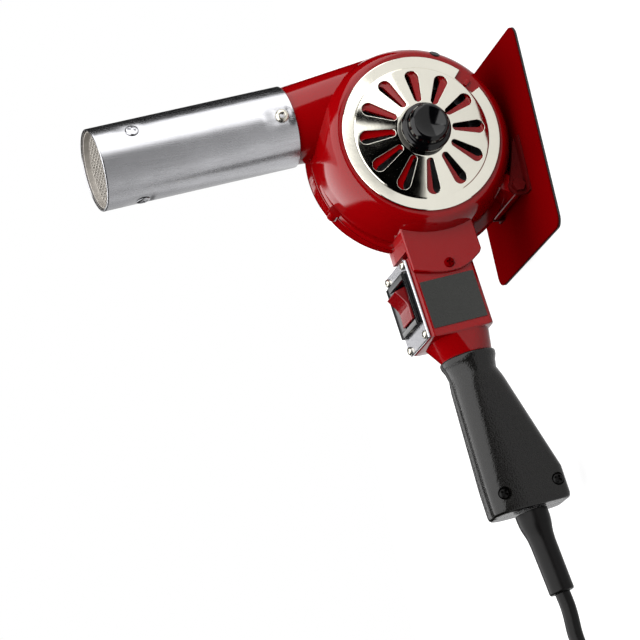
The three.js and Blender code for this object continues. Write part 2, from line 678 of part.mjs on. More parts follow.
function shutter() {
  const y = -FACE_Y - RUN;
  const rise = y - CONE_RISE;
  const hole = STUD_R + FIT;
  const disc = ring([
    [hole, rise], [CONE_IN_R, rise], [CONE_OUT_R, y], [SHUTTER_R, y], [SHUTTER_R, y - SHUTTER_T],
    [CONE_OUT_R, y - SHUTTER_T], [CONE_IN_R, rise - SHUTTER_T], [hole, rise - SHUTTER_T],
  ], DRUM_SIDES);
  const stopHalf = THREE.MathUtils.radToDeg((STOP_W / 2 + NOTCH_CLEAR) / NOTCH_R);
  const from = STOP_ANGLE - stopHalf - SHUT_TRAVEL;
  const to = STOP_ANGLE + stopHalf + OPEN_TRAVEL;
  const outside = SHUTTER_R + 2 * THROUGH;
  const edge = (r, a) => [r * Math.cos(rad(a)), -r * Math.sin(rad(a))];
  const notch = prismY(
    [edge(NOTCH_R, from), edge(outside, from), edge(outside, to), edge(NOTCH_R, to)],
    y - SHUTTER_T - THROUGH, y + THROUGH,
  );
  const top = rise - SHUTTER_T;
  const slots = slotRow(SHUTTER_ANGLE, top - THROUGH, y + THROUGH);
  add(gun, "shutter_disc", cut(disc, ...slots, notch), chrome());
  const base = top - SEAT;
  const step = base - KNOB_SKIRT;
  const cap = base - KNOB_HEIGHT;
  const knob = turned([
    [0, base], [KNOB_R - KNOB_EDGE, base], [KNOB_R, base - KNOB_EDGE], [KNOB_R, step + KNOB_EDGE],
    [KNOB_R - KNOB_EDGE, step], [KNOB_TOP_R, step], [KNOB_TOP_R - KNOB_EDGE / 2, cap + 3 * KNOB_EDGE],
    [KNOB_TOP_R - 2.5 * KNOB_EDGE, cap + KNOB_DOME], [0, cap],
  ], KNOB_SIDES);
  const studTop = step - STUD_GRIP;
  const studHole = rod(hole, studTop - FIT, base + THROUGH, SHAFT_SIDES);
  add(gun, "shutter_knob", cut(knob, studHole), phenolic());
  const nutTop = -FACE_Y - CONE_RISE + DRUM_WALL + FIT;
  const stud = turned([
    [0, studTop], [STUD_R, studTop], [STUD_R, nutTop], [STUD_NUT_R, nutTop],
    [STUD_NUT_R, nutTop + STUD_NUT_T], [0, nutTop + STUD_NUT_T],
  ], SHAFT_SIDES);
  add(gun, "shutter_stud", stud, zinc());
}

function blower() {
  const eye = tube(WHEEL_EYE_R, WHEEL_R, WHEEL_NEAR_Y, WHEEL_NEAR_Y + WHEEL_T, MOTOR_SIDES);
  const back = tube(SHAFT_R + FIT, WHEEL_R, WHEEL_FAR_Y - WHEEL_T, WHEEL_FAR_Y, MOTOR_SIDES);
  const hub = tube(SHAFT_R + FIT, HUB_R, WHEEL_FAR_Y - HUB_L, WHEEL_FAR_Y, SHAFT_SIDES);
  const blades = Array.from({ length: BLADES }, (_, k) =>
    box(WHEEL_EYE_R + BLADE_INSET, WHEEL_R - BLADE_INSET, WHEEL_NEAR_Y + WHEEL_T / 2,
      WHEEL_FAR_Y - WHEEL_T / 2, -BLADE_T / 2, BLADE_T / 2).rotateY((k / BLADES) * 2 * Math.PI));
  add(gun, "blower_wheel", join(back, hub, eye, ...blades), zinc());
}

function motor() {
  const plateY = FAR_Y + SEAT;
  const nearBearing = plateY + MOTOR_PLATE_T;
  const bossEnd = nearBearing + BEARING_L;
  const endWall = coverFar - COVER_WALL;
  const farBearing = endWall - BEARING_L - FIT;
  const coverIn = COVER_R - COVER_WALL;
  const statorY = bossEnd + FIT;
  const statorEnd = statorY + STATOR_L;
  const plate = join(
    tube(SHAFT_R + FIT, coverIn - FIT, plateY, nearBearing, MOTOR_SIDES),
    tube(BEARING_R + FIT, BOSS_R, nearBearing - SEAT, bossEnd, BORE_SIDES),
  );
  add(gun, "motor_plate", plate, zinc());
  const bearing = (y0, y1) => tube(SHAFT_R + FIT, BEARING_R, y0, y1, BORE_SIDES);
  add(gun, "bearing_near", bearing(nearBearing + FIT, bossEnd), brass());
  add(gun, "bearing_far", bearing(farBearing, endWall - FIT), brass());
  add(gun, "motor_shaft", rod(SHAFT_R, WHEEL_FAR_Y - HUB_L, endWall - FIT, SHAFT_SIDES), steel());
  add(gun, "rotor_core", tube(SHAFT_R + FIT, ROTOR_R, statorY, statorEnd, BORE_SIDES), zinc());
  const bore = ROTOR_R + AIR_GAP;
  const yokeIn = STATOR_R - STATOR_YOKE;
  const bothPoles = [0, 180];
  const poles = bothPoles.map((angle) =>
    box(ROTOR_R - THROUGH, yokeIn + THROUGH, statorY, statorEnd, -POLE_W / 2, POLE_W / 2)
      .rotateY(rad(angle)));
  const stator = cut(
    join(tube(yokeIn, STATOR_R, statorY, statorEnd, MOTOR_SIDES), ...poles),
    rod(bore, statorY - THROUGH, statorEnd + THROUGH, BORE_SIDES),
  );
  add(gun, "stator_core", stator, zinc());
  const coreHalf = POLE_W / 2 + FIT;
  const coilHalf = coreHalf + WINDING_T;
  const coilFrom = bore + AIR_GAP;
  const coilTo = Math.sqrt(yokeIn ** 2 - coilHalf ** 2) - 2 * FIT;
  bothPoles.forEach((angle, k) => {
    const block = box(coilFrom, coilTo, statorY - WINDING_T, statorEnd + WINDING_T, -coilHalf, coilHalf);
    const core = box(coilFrom - THROUGH, coilTo + THROUGH, statorY - FIT, statorEnd + FIT,
      -coreHalf, coreHalf);
    add(gun, `winding_${k + 1}`, cut(block, core).rotateY(rad(angle)), copper());
  });
  const eyeR = SHAFT_R + COVER_EYE;
  const cup = ring([
    [eyeR, coverFar], [COVER_R - COVER_EDGE, coverFar],
    [COVER_R - COVER_EDGE / 4, coverFar - COVER_EDGE / 4], [COVER_R, coverFar - COVER_EDGE],
    [COVER_R, plateY], [coverIn, plateY], [coverIn, endWall - COVER_WALL], [coverIn - COVER_WALL, endWall],
    [eyeR, endWall],
  ], MOTOR_SIDES);
  const boss = tube(BEARING_R + FIT, BOSS_R, farBearing, endWall + SEAT, BORE_SIDES);
  const vents = Array.from({ length: VENT_COUNT }, (_, k) =>
    box(BOSS_R + VENT_MARGIN, COVER_SCREW_R - VENT_MARGIN, endWall - THROUGH, coverFar + THROUGH,
      -VENT_W / 2, VENT_W / 2).rotateY(((k + 0.5) / VENT_COUNT) * 2 * Math.PI));
  const screwAngles = [90, 270];
  const holes = screwAngles.map((angle) =>
    rod(SCREW_R + FIT, endWall - THROUGH, coverFar + THROUGH).translate(COVER_SCREW_R, 0, 0)
      .rotateY(rad(angle)));
  add(gun, "motor_cover", cut(join(cup, boss), ...vents, ...holes), paint());
  screwAngles.forEach((angle, k) => {
    const piece = screw(SCREW_HEAD_R, SCREW_HEAD_T, SCREW_R, endWall - statorEnd).rotateX(Math.PI);
    piece.translate(COVER_SCREW_R, coverFar + SEAT, 0).rotateY(rad(angle));
    add(gun, `cover_screw_${k + 1}`, piece, zinc());
  });
}

function barrel() {
  const r = BARREL_D / 2;
  const inner = r - BARREL_WALL;
  const wall = alongZ(ring([
    [inner, BARREL_START], [r, BARREL_START], [r, tipZ - BARREL_EDGE], [r - BARREL_EDGE, tipZ],
    [inner, tipZ],
  ], BARREL_SIDES)).translate(NOZZLE_RISE, 0, 0);
  const hole = (angle, z) => barrelRadial(rod(SCREW_R + FIT, -r - THROUGH, -inner + THROUGH), angle, z);
  const rearHoles = rearScrewAngles.map((angle) => hole(angle, rearScrewZ));
  const frontHoles = frontScrewAngles.map((angle) => hole(angle, frontScrewZ));
  add(gun, "barrel", cut(wall, ...rearHoles, ...frontHoles), steel());
  const radialScrew = (length) =>
    screw(SCREW_HEAD_R, SCREW_HEAD_T, SCREW_R, length).translate(0, -r - SEAT, 0);
  const rearL = BARREL_WALL + FIT + NECK_WALL;
  const frontL = BARREL_WALL + FIT + SCREEN_WALL + FIT;
  rearScrewAngles.forEach((angle, k) =>
    add(gun, `barrel_screw_${k + 1}`, barrelRadial(radialScrew(rearL), angle, rearScrewZ), zinc()));
  frontScrewAngles.forEach((angle, k) =>
    add(gun, `screen_screw_${k + 1}`, barrelRadial(radialScrew(frontL), angle, frontScrewZ), zinc()));
  const cupR = inner - FIT;
  const cupIn = cupR - SCREEN_WALL;
  const screenZ = tipZ - SCREEN_RECESS;
  const cup = alongZ(turned([
    [0, screenZ], [cupR, screenZ], [cupR, screenZ - SCREEN_SKIRT], [cupIn, screenZ - SCREEN_SKIRT],
    [cupIn, screenZ - SCREEN_T], [0, screenZ - SCREEN_T],
  ], BARREL_SIDES)).translate(NOZZLE_RISE, 0, 0);
  const skirtHoles = frontScrewAngles.map((angle) =>
    barrelRadial(rod(SCREW_R + FIT, -cupR - THROUGH, -cupIn + THROUGH), angle, frontScrewZ));
  const holes = meshHoles(screenZ, cupIn - MESH_HOLE_R - MESH_EDGE);
  add(gun, "outlet_screen", cut(cup, ...holes, ...skirtHoles), steel());
}

// Six-sided holes in staggered rows whose centres lie within a reach of the barrel's axis
function meshHoles(screenZ, reach) {
  const holes = [];
  const rowStep = MESH_PITCH * Math.cos(Math.PI / 6);
  const rows = Math.floor(reach / rowStep);
  const across = Math.ceil(reach / MESH_PITCH);
  for (let j = -rows; j <= rows; j += 1) {
    for (let i = -across; i <= across; i += 1) {
      const x = (i + (Math.abs(j) % 2) / 2) * MESH_PITCH;
      const y = j * rowStep;
      if (Math.hypot(x, y) < reach) {
        const hole = alongZ(rod(MESH_HOLE_R, screenZ - SCREEN_T - THROUGH, screenZ + THROUGH, 6));
        holes.push(hole.translate(NOZZLE_RISE + x, y, 0));
      }
    }
  }
  return holes;
}

function element() {
  const bore = BARREL_D / 2 - BARREL_WALL;
  const from = BARREL_START + SPIGOT_LENGTH + FIT;
  const to = tipZ - SCREEN_RECESS - SCREEN_SKIRT - FIT;
  const sleeveIn = bore - FIT - SLEEVE_WALL;
  const sleeve = tube(sleeveIn, bore - FIT, from, to, BARREL_SIDES);
  add(gun, "mica_sleeve", alongZ(sleeve).translate(NOZZLE_RISE, 0, 0), mica());
  const baseR = sleeveIn - FIT;
  const baseEnd = from + CORE_BASE_T;
  const core = alongZ(turned([
    [0, from], [baseR, from], [baseR, baseEnd], [CORE_R, baseEnd], [CORE_R, from + CORE_LENGTH],
    [0, from + CORE_LENGTH],
  ], BORE_SIDES));
  const portR = (CORE_R + baseR) / 2;
  const ports = Array.from({ length: CORE_PORTS }, (_, k) =>
    alongZ(rod(CORE_PORT_R, from - THROUGH, baseEnd + THROUGH)).translate(portR, 0, 0)
      .rotateZ((k / CORE_PORTS) * 2 * Math.PI));
  add(gun, "element_core", cut(core, ...ports).translate(NOZZLE_RISE, 0, 0), ceramic());
  const start = baseEnd + HEATER_WIRE_R + FIT;
  const points = Array.from({ length: HEATER_TURNS * HEATER_STEPS + 1 }, (_, i) => {
    const turn = i / HEATER_STEPS;
    const a = turn * 2 * Math.PI;
    const z = start + turn * HEATER_PITCH;
    return new THREE.Vector3(HEATER_R * Math.cos(a), HEATER_R * Math.sin(a), z);
  });
  const wire = loft(tubeRings(points, HEATER_WIRE_R, HEATER_SIDES));
  add(gun, "heater_coil", wire.translate(NOZZLE_RISE, 0, 0), zinc());
}

// A housing section whose front and back are given along Z
function housingRing(x, front, back, halfW, corner) {
  return roundRing(x, (front + back) / 2, (front - back) / 2, halfW, corner);
}

function switchHousing() {
  const topFront = HOUSING_FRONT - HOUSING_TOP_SET;
  const full = (x) => housingRing(x, HOUSING_FRONT, HOUSING_BACK, HOUSING_HALF_W, HOUSING_CORNER);
  const outer = loft([
    housingRing(HOUSING_TOP, topFront, HOUSING_BACK, HOUSING_HALF_W, HOUSING_CORNER),
    full(HOUSING_TOP - HOUSING_TOP_L),
    full(HOUSING_STRAIGHT),
    housingRing(NECKDOWN_X, NECKDOWN_FRONT, NECKDOWN_BACK, NECKDOWN_HALF_W, NECKDOWN_CORNER),
    roundRing(HOUSING_END, HANDLE_Z, HOUSING_END_R, HOUSING_END_R, HOUSING_END_R),
  ]);
  const tangEnd = HOUSING_END - TANG_L;
  const tang = alongX(rod(TANG_R, tangEnd, HOUSING_END + THROUGH, BORE_SIDES)).translate(0, 0, HANDLE_Z);
  const floorX = HOUSING_STRAIGHT + HOUSING_WALL;
  const frontIn = HOUSING_FRONT - HOUSING_FRONT_WALL;
  const halfIn = HOUSING_HALF_W - HOUSING_WALL;
  const backIn = HOUSING_BACK + HOUSING_WALL;
  const cavity = box(floorX, HOUSING_TOP + THROUGH, -halfIn, halfIn, backIn, frontIn);
  const wires = alongX(rod(TANG_BORE_R, tangEnd - THROUGH, floorX + THROUGH, LUG_SIDES));
  const holes = plateScrews.map(([a, b]) =>
    alongZ(rod(SCREW_R + FIT, frontIn - THROUGH, HOUSING_FRONT + THROUGH))
      .translate(SWITCH_PLATE_X + a * plateScrewX, b * plateScrewY, 0));
  const side = rod(SCREW_R + FIT, -HOUSING_HALF_W - THROUGH, -halfIn + THROUGH);
  add(gun, "switch_housing", cut(
    join(outer, tang), cavity, wires.translate(0, 0, HANDLE_Z), ...holes,
    switchWindow(frontIn - THROUGH, HOUSING_FRONT + THROUGH),
    side.translate(COLLAR_SCREW_X, 0, COLLAR_SCREW_Z),
  ), paint());
  const labelY = -HOUSING_HALF_W - SEAT;
  const label = box(LABEL_TOP - LABEL_L, LABEL_TOP, labelY - LABEL_T, labelY, LABEL_BACK, LABEL_FRONT);
  add(gun, "label_plate", label, plastic());
}

// The opening that the switch body passes through
function switchWindow(z0, z1) {
  const [x, y] = [SWITCH_BODY_L / 2 + FIT, SWITCH_BODY_W / 2 + FIT];
  return box(SWITCH_X - x, SWITCH_X + x, -y, y, z0, z1);
}

function switchParts() {
  const plateZ0 = HOUSING_FRONT + SEAT;
  const plateZ1 = plateZ0 + SWITCH_PLATE_T;
  const holes = plateScrews.map(([a, b]) =>
    alongZ(rod(SCREW_R + FIT, plateZ0 - THROUGH, plateZ1 + THROUGH))
      .translate(SWITCH_PLATE_X + a * plateScrewX, b * plateScrewY, 0));
  const plate = plateZ(SWITCH_PLATE_L, SWITCH_PLATE_W, SWITCH_CORNER, plateZ0, plateZ1);
  plate.translate(SWITCH_PLATE_X, 0, 0);
  add(gun, "switch_plate", cut(plate, switchWindow(plateZ0 - THROUGH, plateZ1 + THROUGH), ...holes), steel());
  plateScrews.forEach(([a, b], k) => {
    const piece = screw(PLATE_SCREW_HEAD_R, SCREW_HEAD_T, SCREW_R, SCREW_L).rotateX(-Math.PI / 2);
    piece.translate(SWITCH_PLATE_X + a * plateScrewX, b * plateScrewY, plateZ1 + SEAT);
    add(gun, `plate_screw_${k + 1}`, piece, zinc());
  });
  const half = ROCKER_L / 2;
  const foot = half * ROCKER_FOOT;
  const tip = ROCKER_FACE + half * Math.tan(rad(ROCKER_V));
  const tipAngle = Math.max(0, Math.atan2(tip, half) - rad(ROCKER_THROW));
  const reach = Math.hypot(half, tip) * Math.cos(tipAngle);
  const wellX = reach + RUN;
  const wellY = ROCKER_W / 2 + RUN;
  const wellDeep = rockerZ - Math.hypot(foot, ROCKER_DEPTH) - RUN;
  const bezelFace = bezelBack + BEZEL_T;
  const bezel = plateZ(BEZEL_L, BEZEL_W, SWITCH_CORNER, bezelBack, bezelFace).translate(SWITCH_X, 0, 0);
  const [bodyX, bodyY] = [SWITCH_BODY_L / 2, SWITCH_BODY_W / 2];
  const body = box(SWITCH_X - bodyX, SWITCH_X + bodyX, -bodyY, bodyY,
    bezelBack - SWITCH_BODY_DEPTH, bezelBack + SEAT);
  const well = box(SWITCH_X - wellX, SWITCH_X + wellX, -wellY, wellY, wellDeep, bezelFace + THROUGH);
  const pinEnd = wellY + TRUNNION_L;
  const pinHole = rod(TRUNNION_R + FIT, -pinEnd - FIT, pinEnd + FIT, SHAFT_SIDES);
  pinHole.translate(SWITCH_X, 0, rockerZ);
  add(gun, "switch_body", cut(join(bezel, body), well, pinHole), plastic());
  const face = prismY([
    [half, tip], [0, ROCKER_FACE], [-half, tip], [-half, 0], [-foot, -ROCKER_DEPTH],
    [foot, -ROCKER_DEPTH], [half, 0],
  ], -ROCKER_W / 2, ROCKER_W / 2);
  const rocker = join(face, rod(TRUNNION_R, -pinEnd, pinEnd, SHAFT_SIDES));
  add(gun, "rocker", rocker.rotateY(rad(-ROCKER_THROW)).translate(SWITCH_X, 0, rockerZ), redPlastic());
}

function grip() {
  const throat = gripTop - GRIP_THROAT_L;
  const endHalf = GRIP_END_HALF - GRIP_END_ROUND;
  const outer = loft([
    roundRing(gripTop, HANDLE_Z, GRIP_RIM_R, GRIP_RIM_R, GRIP_RIM_R),
    roundRing(gripTop - GRIP_RIM_L, HANDLE_Z, GRIP_RIM_R, GRIP_RIM_R, GRIP_RIM_R),
    roundRing(throat, HANDLE_Z, GRIP_THROAT_R, GRIP_THROAT_R, GRIP_THROAT_R),
    roundRing(gripEnd + GRIP_FULL_L, GRIP_END_Z, GRIP_END_HALF, GRIP_HALF_T, GRIP_CORNER),
    roundRing(gripEnd + GRIP_END_ROUND, GRIP_END_Z, GRIP_END_HALF, GRIP_HALF_T, GRIP_CORNER),
    roundRing(gripEnd, GRIP_END_Z, endHalf, GRIP_HALF_T - GRIP_END_ROUND, GRIP_CORNER),
  ]);
  const socketEnd = HOUSING_END - TANG_L - FIT;
  const socket = alongX(rod(TANG_R + FIT, socketEnd, gripTop + THROUGH, BORE_SIDES));
  const channel = loft([
    roundRing(socketEnd + THROUGH, HANDLE_Z, CHANNEL_R, CHANNEL_R, CHANNEL_R),
    roundRing(gripEnd - THROUGH, RELIEF_Z, CHANNEL_R, CHANNEL_R, CHANNEL_R),
  ]);
  const places = [GRIP_SCREW_FRONT, GRIP_SCREW_BACK];
  const seatY = -GRIP_HALF_T + GRIP_HEAD_T + FIT;
  const sinks = places.map((z) =>
    rod(GRIP_HEAD_R + FIT, -GRIP_HALF_T - THROUGH, seatY, SHAFT_SIDES).translate(gripScrewX, 0, z));
  const shanks = places.map((z) =>
    rod(GRIP_SHANK_R + FIT, seatY - THROUGH, seatY + GRIP_SHANK_L + FIT).translate(gripScrewX, 0, z));
  const whole = cut(outer, socket.translate(0, 0, HANDLE_Z), channel, ...sinks, ...shanks);
  add(gun, "grip_near", halfOf(whole, -1), plastic());
  add(gun, "grip_far", halfOf(whole, 1), plastic());
  places.forEach((z, k) => {
    const piece = screw(GRIP_HEAD_R, GRIP_HEAD_T, GRIP_SHANK_R, GRIP_SHANK_L);
    add(gun, `grip_screw_${k + 1}`, piece.translate(gripScrewX, seatY - SEAT, z), zinc());
  });
}

// The strain relief along -X from its seat on the grip's end
function strainRelief() {
  const profile = [
    [0, 0], [RELIEF_COLLAR_R, 0], [RELIEF_COLLAR_R, RELIEF_COLLAR_L],
    [RELIEF_R, RELIEF_COLLAR_L + RELIEF_TAPER], [RELIEF_R, RELIEF_L - RELIEF_EDGE],
    [RELIEF_R - RELIEF_EDGE, RELIEF_L], [0, RELIEF_L],
  ];
  const piece = turned(profile, BORE_SIDES).rotateZ(Math.PI / 2).rotateY(rad(-RELIEF_TILT));
  add(gun, "strain_relief", piece.translate(reliefX, 0, RELIEF_Z), rubber());
}

// The gun leans on its stand about the hinge bolt
function placeGun() {
  gun.rotation.y = -lean;
  gun.position.set(fanX, 0, fanZ);
  gun.updateMatrixWorld(true);
}

function standParts() {
  add(part, "stand_pad", plateZ(STAND_LENGTH, STAND_WIDTH, STAND_CORNER, 0, PAD_T), rubber());
  add(part, "stand_plate", plateZ(STAND_LENGTH, STAND_WIDTH, STAND_CORNER, PAD_T + SEAT, plateTop), paint());
  const foot = plateTop + SEAT;
  const inner = PIVOT_LUG_HALF + RUN;
  const outer = inner + EAR_T;
  const [back, front] = [PIVOT_BACK - EAR_R, PIVOT_BACK + EAR_REACH];
  const slant = EAR_R * Math.SQRT1_2;
  const boltHole = rod(BOLT_R + FIT, -outer - THROUGH, outer + THROUGH).translate(PIVOT_BACK, 0, pivotTop);
  for (const [name, side] of [["stand_ear_near", -1], ["stand_ear_far", 1]]) {
    const between = (a, b) => [Math.min(side * a, side * b), Math.max(side * a, side * b)];
    const cheek = between(inner, outer);
    const ear = join(
      rod(EAR_R, ...cheek, BORE_SIDES).translate(PIVOT_BACK, 0, pivotTop),
      prismY([
        [back, foot], [front, foot], [front, foot + EAR_TOE], [PIVOT_BACK + slant, pivotTop + slant],
        [back, pivotTop],
      ], ...cheek),
      box(back, front, ...between(inner, inner + EAR_FOOT_W), foot, foot + EAR_FOOT_T),
    );
    add(part, name, cut(ear, boltHole), paint());
  }
  const clamp = outer + SEAT;
  const nutEnd = clamp + BOLT_HEAD_T;
  const bolt = join(
    rod(BOLT_R, -clamp - THROUGH, nutEnd + BOLT_END, SHAFT_SIDES),
    rod(BOLT_HEAD_R, -nutEnd, -clamp, 6),
  );
  add(part, "hinge_bolt", bolt.translate(PIVOT_BACK, 0, pivotTop), zinc());
  const thread = rod(BOLT_R + FIT, clamp - THROUGH, nutEnd + THROUGH, SHAFT_SIDES);
  const nut = cut(rod(BOLT_HEAD_R, clamp, nutEnd, 6), thread);
  add(part, "hinge_nut", nut.translate(PIVOT_BACK, 0, pivotTop), zinc());
}

// Points of the coil: in on the bench, up in half a turn, and out again on top
function coilPoints() {
  const half = COIL_TURNS / 2;
  const points = [];
  const steps = Math.round(COIL_TURNS * COIL_STEPS);
  for (let i = 0; i <= steps; i += 1) {
    const s = (i / steps) * COIL_TURNS;
    const climb = THREE.MathUtils.smoothstep(s, half - 0.25, half + 0.25);
    const r = coilOutR - COIL_PITCH * (half - Math.abs(s - half));
    const a = -Math.PI / 2 - 2 * Math.PI * s;
    const z = coilLow + COIL_PITCH * climb;
    points.push(new THREE.Vector3(COIL_X + r * Math.cos(a), COIL_Y + r * Math.sin(a), z));
  }
  const straight = (end, next) => end.clone().addScaledVector(end.clone().sub(next).normalize(), 2 * CORD_R);
  points.unshift(straight(points[0], points[1]));
  points.push(straight(points[points.length - 1], points[points.length - 2]));
  return points;
}

// Least space between turns: points further apart along the tube than a bend can bring together
function leastGap(points) {
  let least = Infinity;
  const apart = Math.ceil(COIL_STEPS / 3);
  for (let i = 0; i < points.length; i += 1) {
    for (let j = i + apart; j < points.length; j += 1) {
      least = Math.min(least, points[i].distanceTo(points[j]));
    }
  }
  return least - 2 * CORD_R;
}

function cordTube(points) {
  const outline = Array.from({ length: CORD_SIDES }, (_, k) => {
    const a = ((k + 0.5) / CORD_SIDES) * 2 * Math.PI;
    return new THREE.Vector2(CORD_R * Math.cos(a), CORD_R * Math.sin(a));
  });
  const path = new THREE.CatmullRomCurve3(points);
  return new THREE.ExtrudeGeometry(new THREE.Shape(outline), { steps: CORD_STEPS, extrudePath: path });
}

function lead() {
  const out = new THREE.Vector3(-Math.cos(rad(RELIEF_TILT)), 0, -Math.sin(rad(RELIEF_TILT)));
  const exit = new THREE.Vector3(reliefX, 0, RELIEF_Z).addScaledVector(out, RELIEF_L + FIT);
  const start = exit.applyMatrix4(gun.matrixWorld);
  const run = out.transformDirection(gun.matrixWorld);
  const coil = coilPoints();
  console.log("cord coil least gap", leastGap(coil).toFixed(2), "mm");
  add(part, "cord_coil", loft(tubeRings(coil, CORD_R, COIL_SIDES)), rubber());
  const toward = coil[0].clone().sub(coil[1]).normalize();
  const arrive = coil[0].clone().addScaledVector(toward, FIT);
  add(part, "cord_lead", cordTube([
    start,
    start.clone().addScaledVector(run, 2 * CORD_R),
    ...LEAD_ROUTE.map(([x, y, z]) => new THREE.Vector3(x, y, z)),
    arrive.clone().addScaledVector(toward, 2 * CORD_R),
    arrive,
  ]), rubber());
  const away = coil[coil.length - 1].clone().sub(coil[coil.length - 2]).normalize();
  const leave = coil[coil.length - 1].clone().addScaledVector(away, FIT);
  const plugZ = PLUG_H / 2 + FIT;
  add(part, "cord_tail", cordTube([
    leave,
    leave.clone().addScaledVector(away, 2 * CORD_R),
    ...TAIL_ROUTE.map(([x, y, z]) => new THREE.Vector3(x, y, z)),
    new THREE.Vector3(PLUG_X, PLUG_LIE_Y - 2 * CORD_R - FIT, plugZ),
    new THREE.Vector3(PLUG_X, PLUG_LIE_Y - FIT, plugZ),
  ]), rubber());
  tie();
  plug(plugZ);
}

// A strap round the turns of the coil
function tie() {
  const spread = coilSpread + CORD_R + TIE_CLEAR;
  const [inside, outside] = [COIL_R - spread, COIL_R + spread];
  const bottom = coilLow - CORD_R - TIE_CLEAR;
  const top = coilLow + COIL_PITCH + CORD_R + TIE_CLEAR;
  const strap = cut(
    box(inside - TIE_T, outside + TIE_T, -TIE_W / 2, TIE_W / 2, bottom - TIE_T, top + TIE_T),
    box(inside, outside, -TIE_W, TIE_W, bottom, top),
  );
  add(part, "cord_tie", strap.rotateZ(rad(TIE_ANGLE)).translate(COIL_X, COIL_Y, 0), plastic());
}

function plug(z) {
  const waist = PLUG_NECK_R + 1;
  const body = loft([
    roundRing(0, 0, PLUG_NECK_R, PLUG_NECK_R, PLUG_NECK_R),
    roundRing(-PLUG_L * 0.3, 0, waist, waist, waist),
    roundRing(-PLUG_L / 2, 0, PLUG_H / 2, PLUG_W / 2, PLUG_CORNER),
    roundRing(-PLUG_L, 0, PLUG_H / 2, PLUG_W / 2, PLUG_CORNER),
  ]);
  const set = (geometry) => geometry.rotateZ(-Math.PI / 2).translate(PLUG_X, PLUG_LIE_Y, z);
  add(part, "plug_body", set(body), rubber());
  const face = -PLUG_L - SEAT;
  for (const [name, side] of [["plug_blade_1", -1], ["plug_blade_2", 1]]) {
    const mid = (side * BLADE_SPREAD) / 2;
    const blade = box(face - BLADE_L, face, mid - BLADE_PLATE_T / 2, mid + BLADE_PLATE_T / 2,
      BLADE_UP - BLADE_W / 2, BLADE_UP + BLADE_W / 2);
    add(part, name, set(blade), brass());
  }
  const ground = alongX(rod(GROUND_R, face - GROUND_L, face)).translate(0, 0, BLADE_UP - GROUND_DROP);
  add(part, "plug_ground_pin", set(ground), brass());
}

shells();
shutter();
blower();
motor();
barrel();
element();
switchHousing();
switchParts();
grip();
strainRelief();
placeGun();
standParts();
lead();

export default part;
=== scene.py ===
import json
import math

import bmesh
import bpy
from mathutils import Matrix, Vector

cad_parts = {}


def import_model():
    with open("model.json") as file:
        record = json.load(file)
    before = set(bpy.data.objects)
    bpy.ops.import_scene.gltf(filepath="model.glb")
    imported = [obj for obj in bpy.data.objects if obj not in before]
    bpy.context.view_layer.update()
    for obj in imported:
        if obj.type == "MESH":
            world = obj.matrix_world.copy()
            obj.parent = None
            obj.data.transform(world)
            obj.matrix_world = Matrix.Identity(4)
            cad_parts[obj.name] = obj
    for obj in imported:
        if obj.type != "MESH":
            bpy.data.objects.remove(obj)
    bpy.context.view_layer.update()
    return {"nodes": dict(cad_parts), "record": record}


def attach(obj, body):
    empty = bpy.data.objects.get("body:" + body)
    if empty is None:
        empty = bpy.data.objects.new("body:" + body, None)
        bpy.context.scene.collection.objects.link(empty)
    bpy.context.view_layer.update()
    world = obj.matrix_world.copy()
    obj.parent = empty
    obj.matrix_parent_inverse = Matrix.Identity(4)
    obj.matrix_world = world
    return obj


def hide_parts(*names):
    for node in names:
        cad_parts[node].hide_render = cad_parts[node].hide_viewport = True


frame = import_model()
scene = bpy.context.scene
scene.view_settings.view_transform = "Standard"

# The gun's own frame in millimetres: fan axis along Y, barrel along +Z, handle down -X
MM = 0.001
LEAN = math.radians(5.5)
FAN = Vector((0.0116701, 0.0, 0.0650297))
GUN = Matrix.Translation(FAN) @ Matrix.Rotation(-LEAN, 4, "Y") @ Matrix.Scale(MM, 4)
BENCH = Matrix.Scale(MM, 4)
FIT = 0.3
SEAT = 0.15
SPAN = 400.0

# Camera of the photograph
CAMERA_AT = Vector((-0.55786, -1.79294, 0.66613))
CAMERA_RIGHT = Vector((-0.207798, -0.223633, -0.952265))
CAMERA_UP = Vector((0.946896, -0.290195, -0.138476))
CAMERA_LENS = 180.0

# Mains lead on the bench
CORD_R = 4.7
RELIEF_TILT = math.radians(3.2)
RELIEF_AT = Vector((-234.869, 0.0, -3.8))
RELIEF_L = 52.0
LEAD_ROUTE = [
    (-303, 0, 28.6), (-320, -1.5, 25.2), (-337, -5, 19.6), (-353, -9.3, 12.6), (-365, -12.2, 8.4),
]
TAIL_ROUTE = [
    (-433, -17.5, 14), (-451, -12, 10.6), (-466, -1, 8.2), (-476, 14, 8), (-481.5, 30, 10),
]
COIL_X = -396.0
COIL_Y = 49.5
COIL_OUT_R = 63.5
COIL_PITCH = 10.0
COIL_TURNS = 5
COIL_STEPS = 24
COIL_LOW = 6.0
PLUG_AT = Vector((-483.0, 52.0, 11.8))

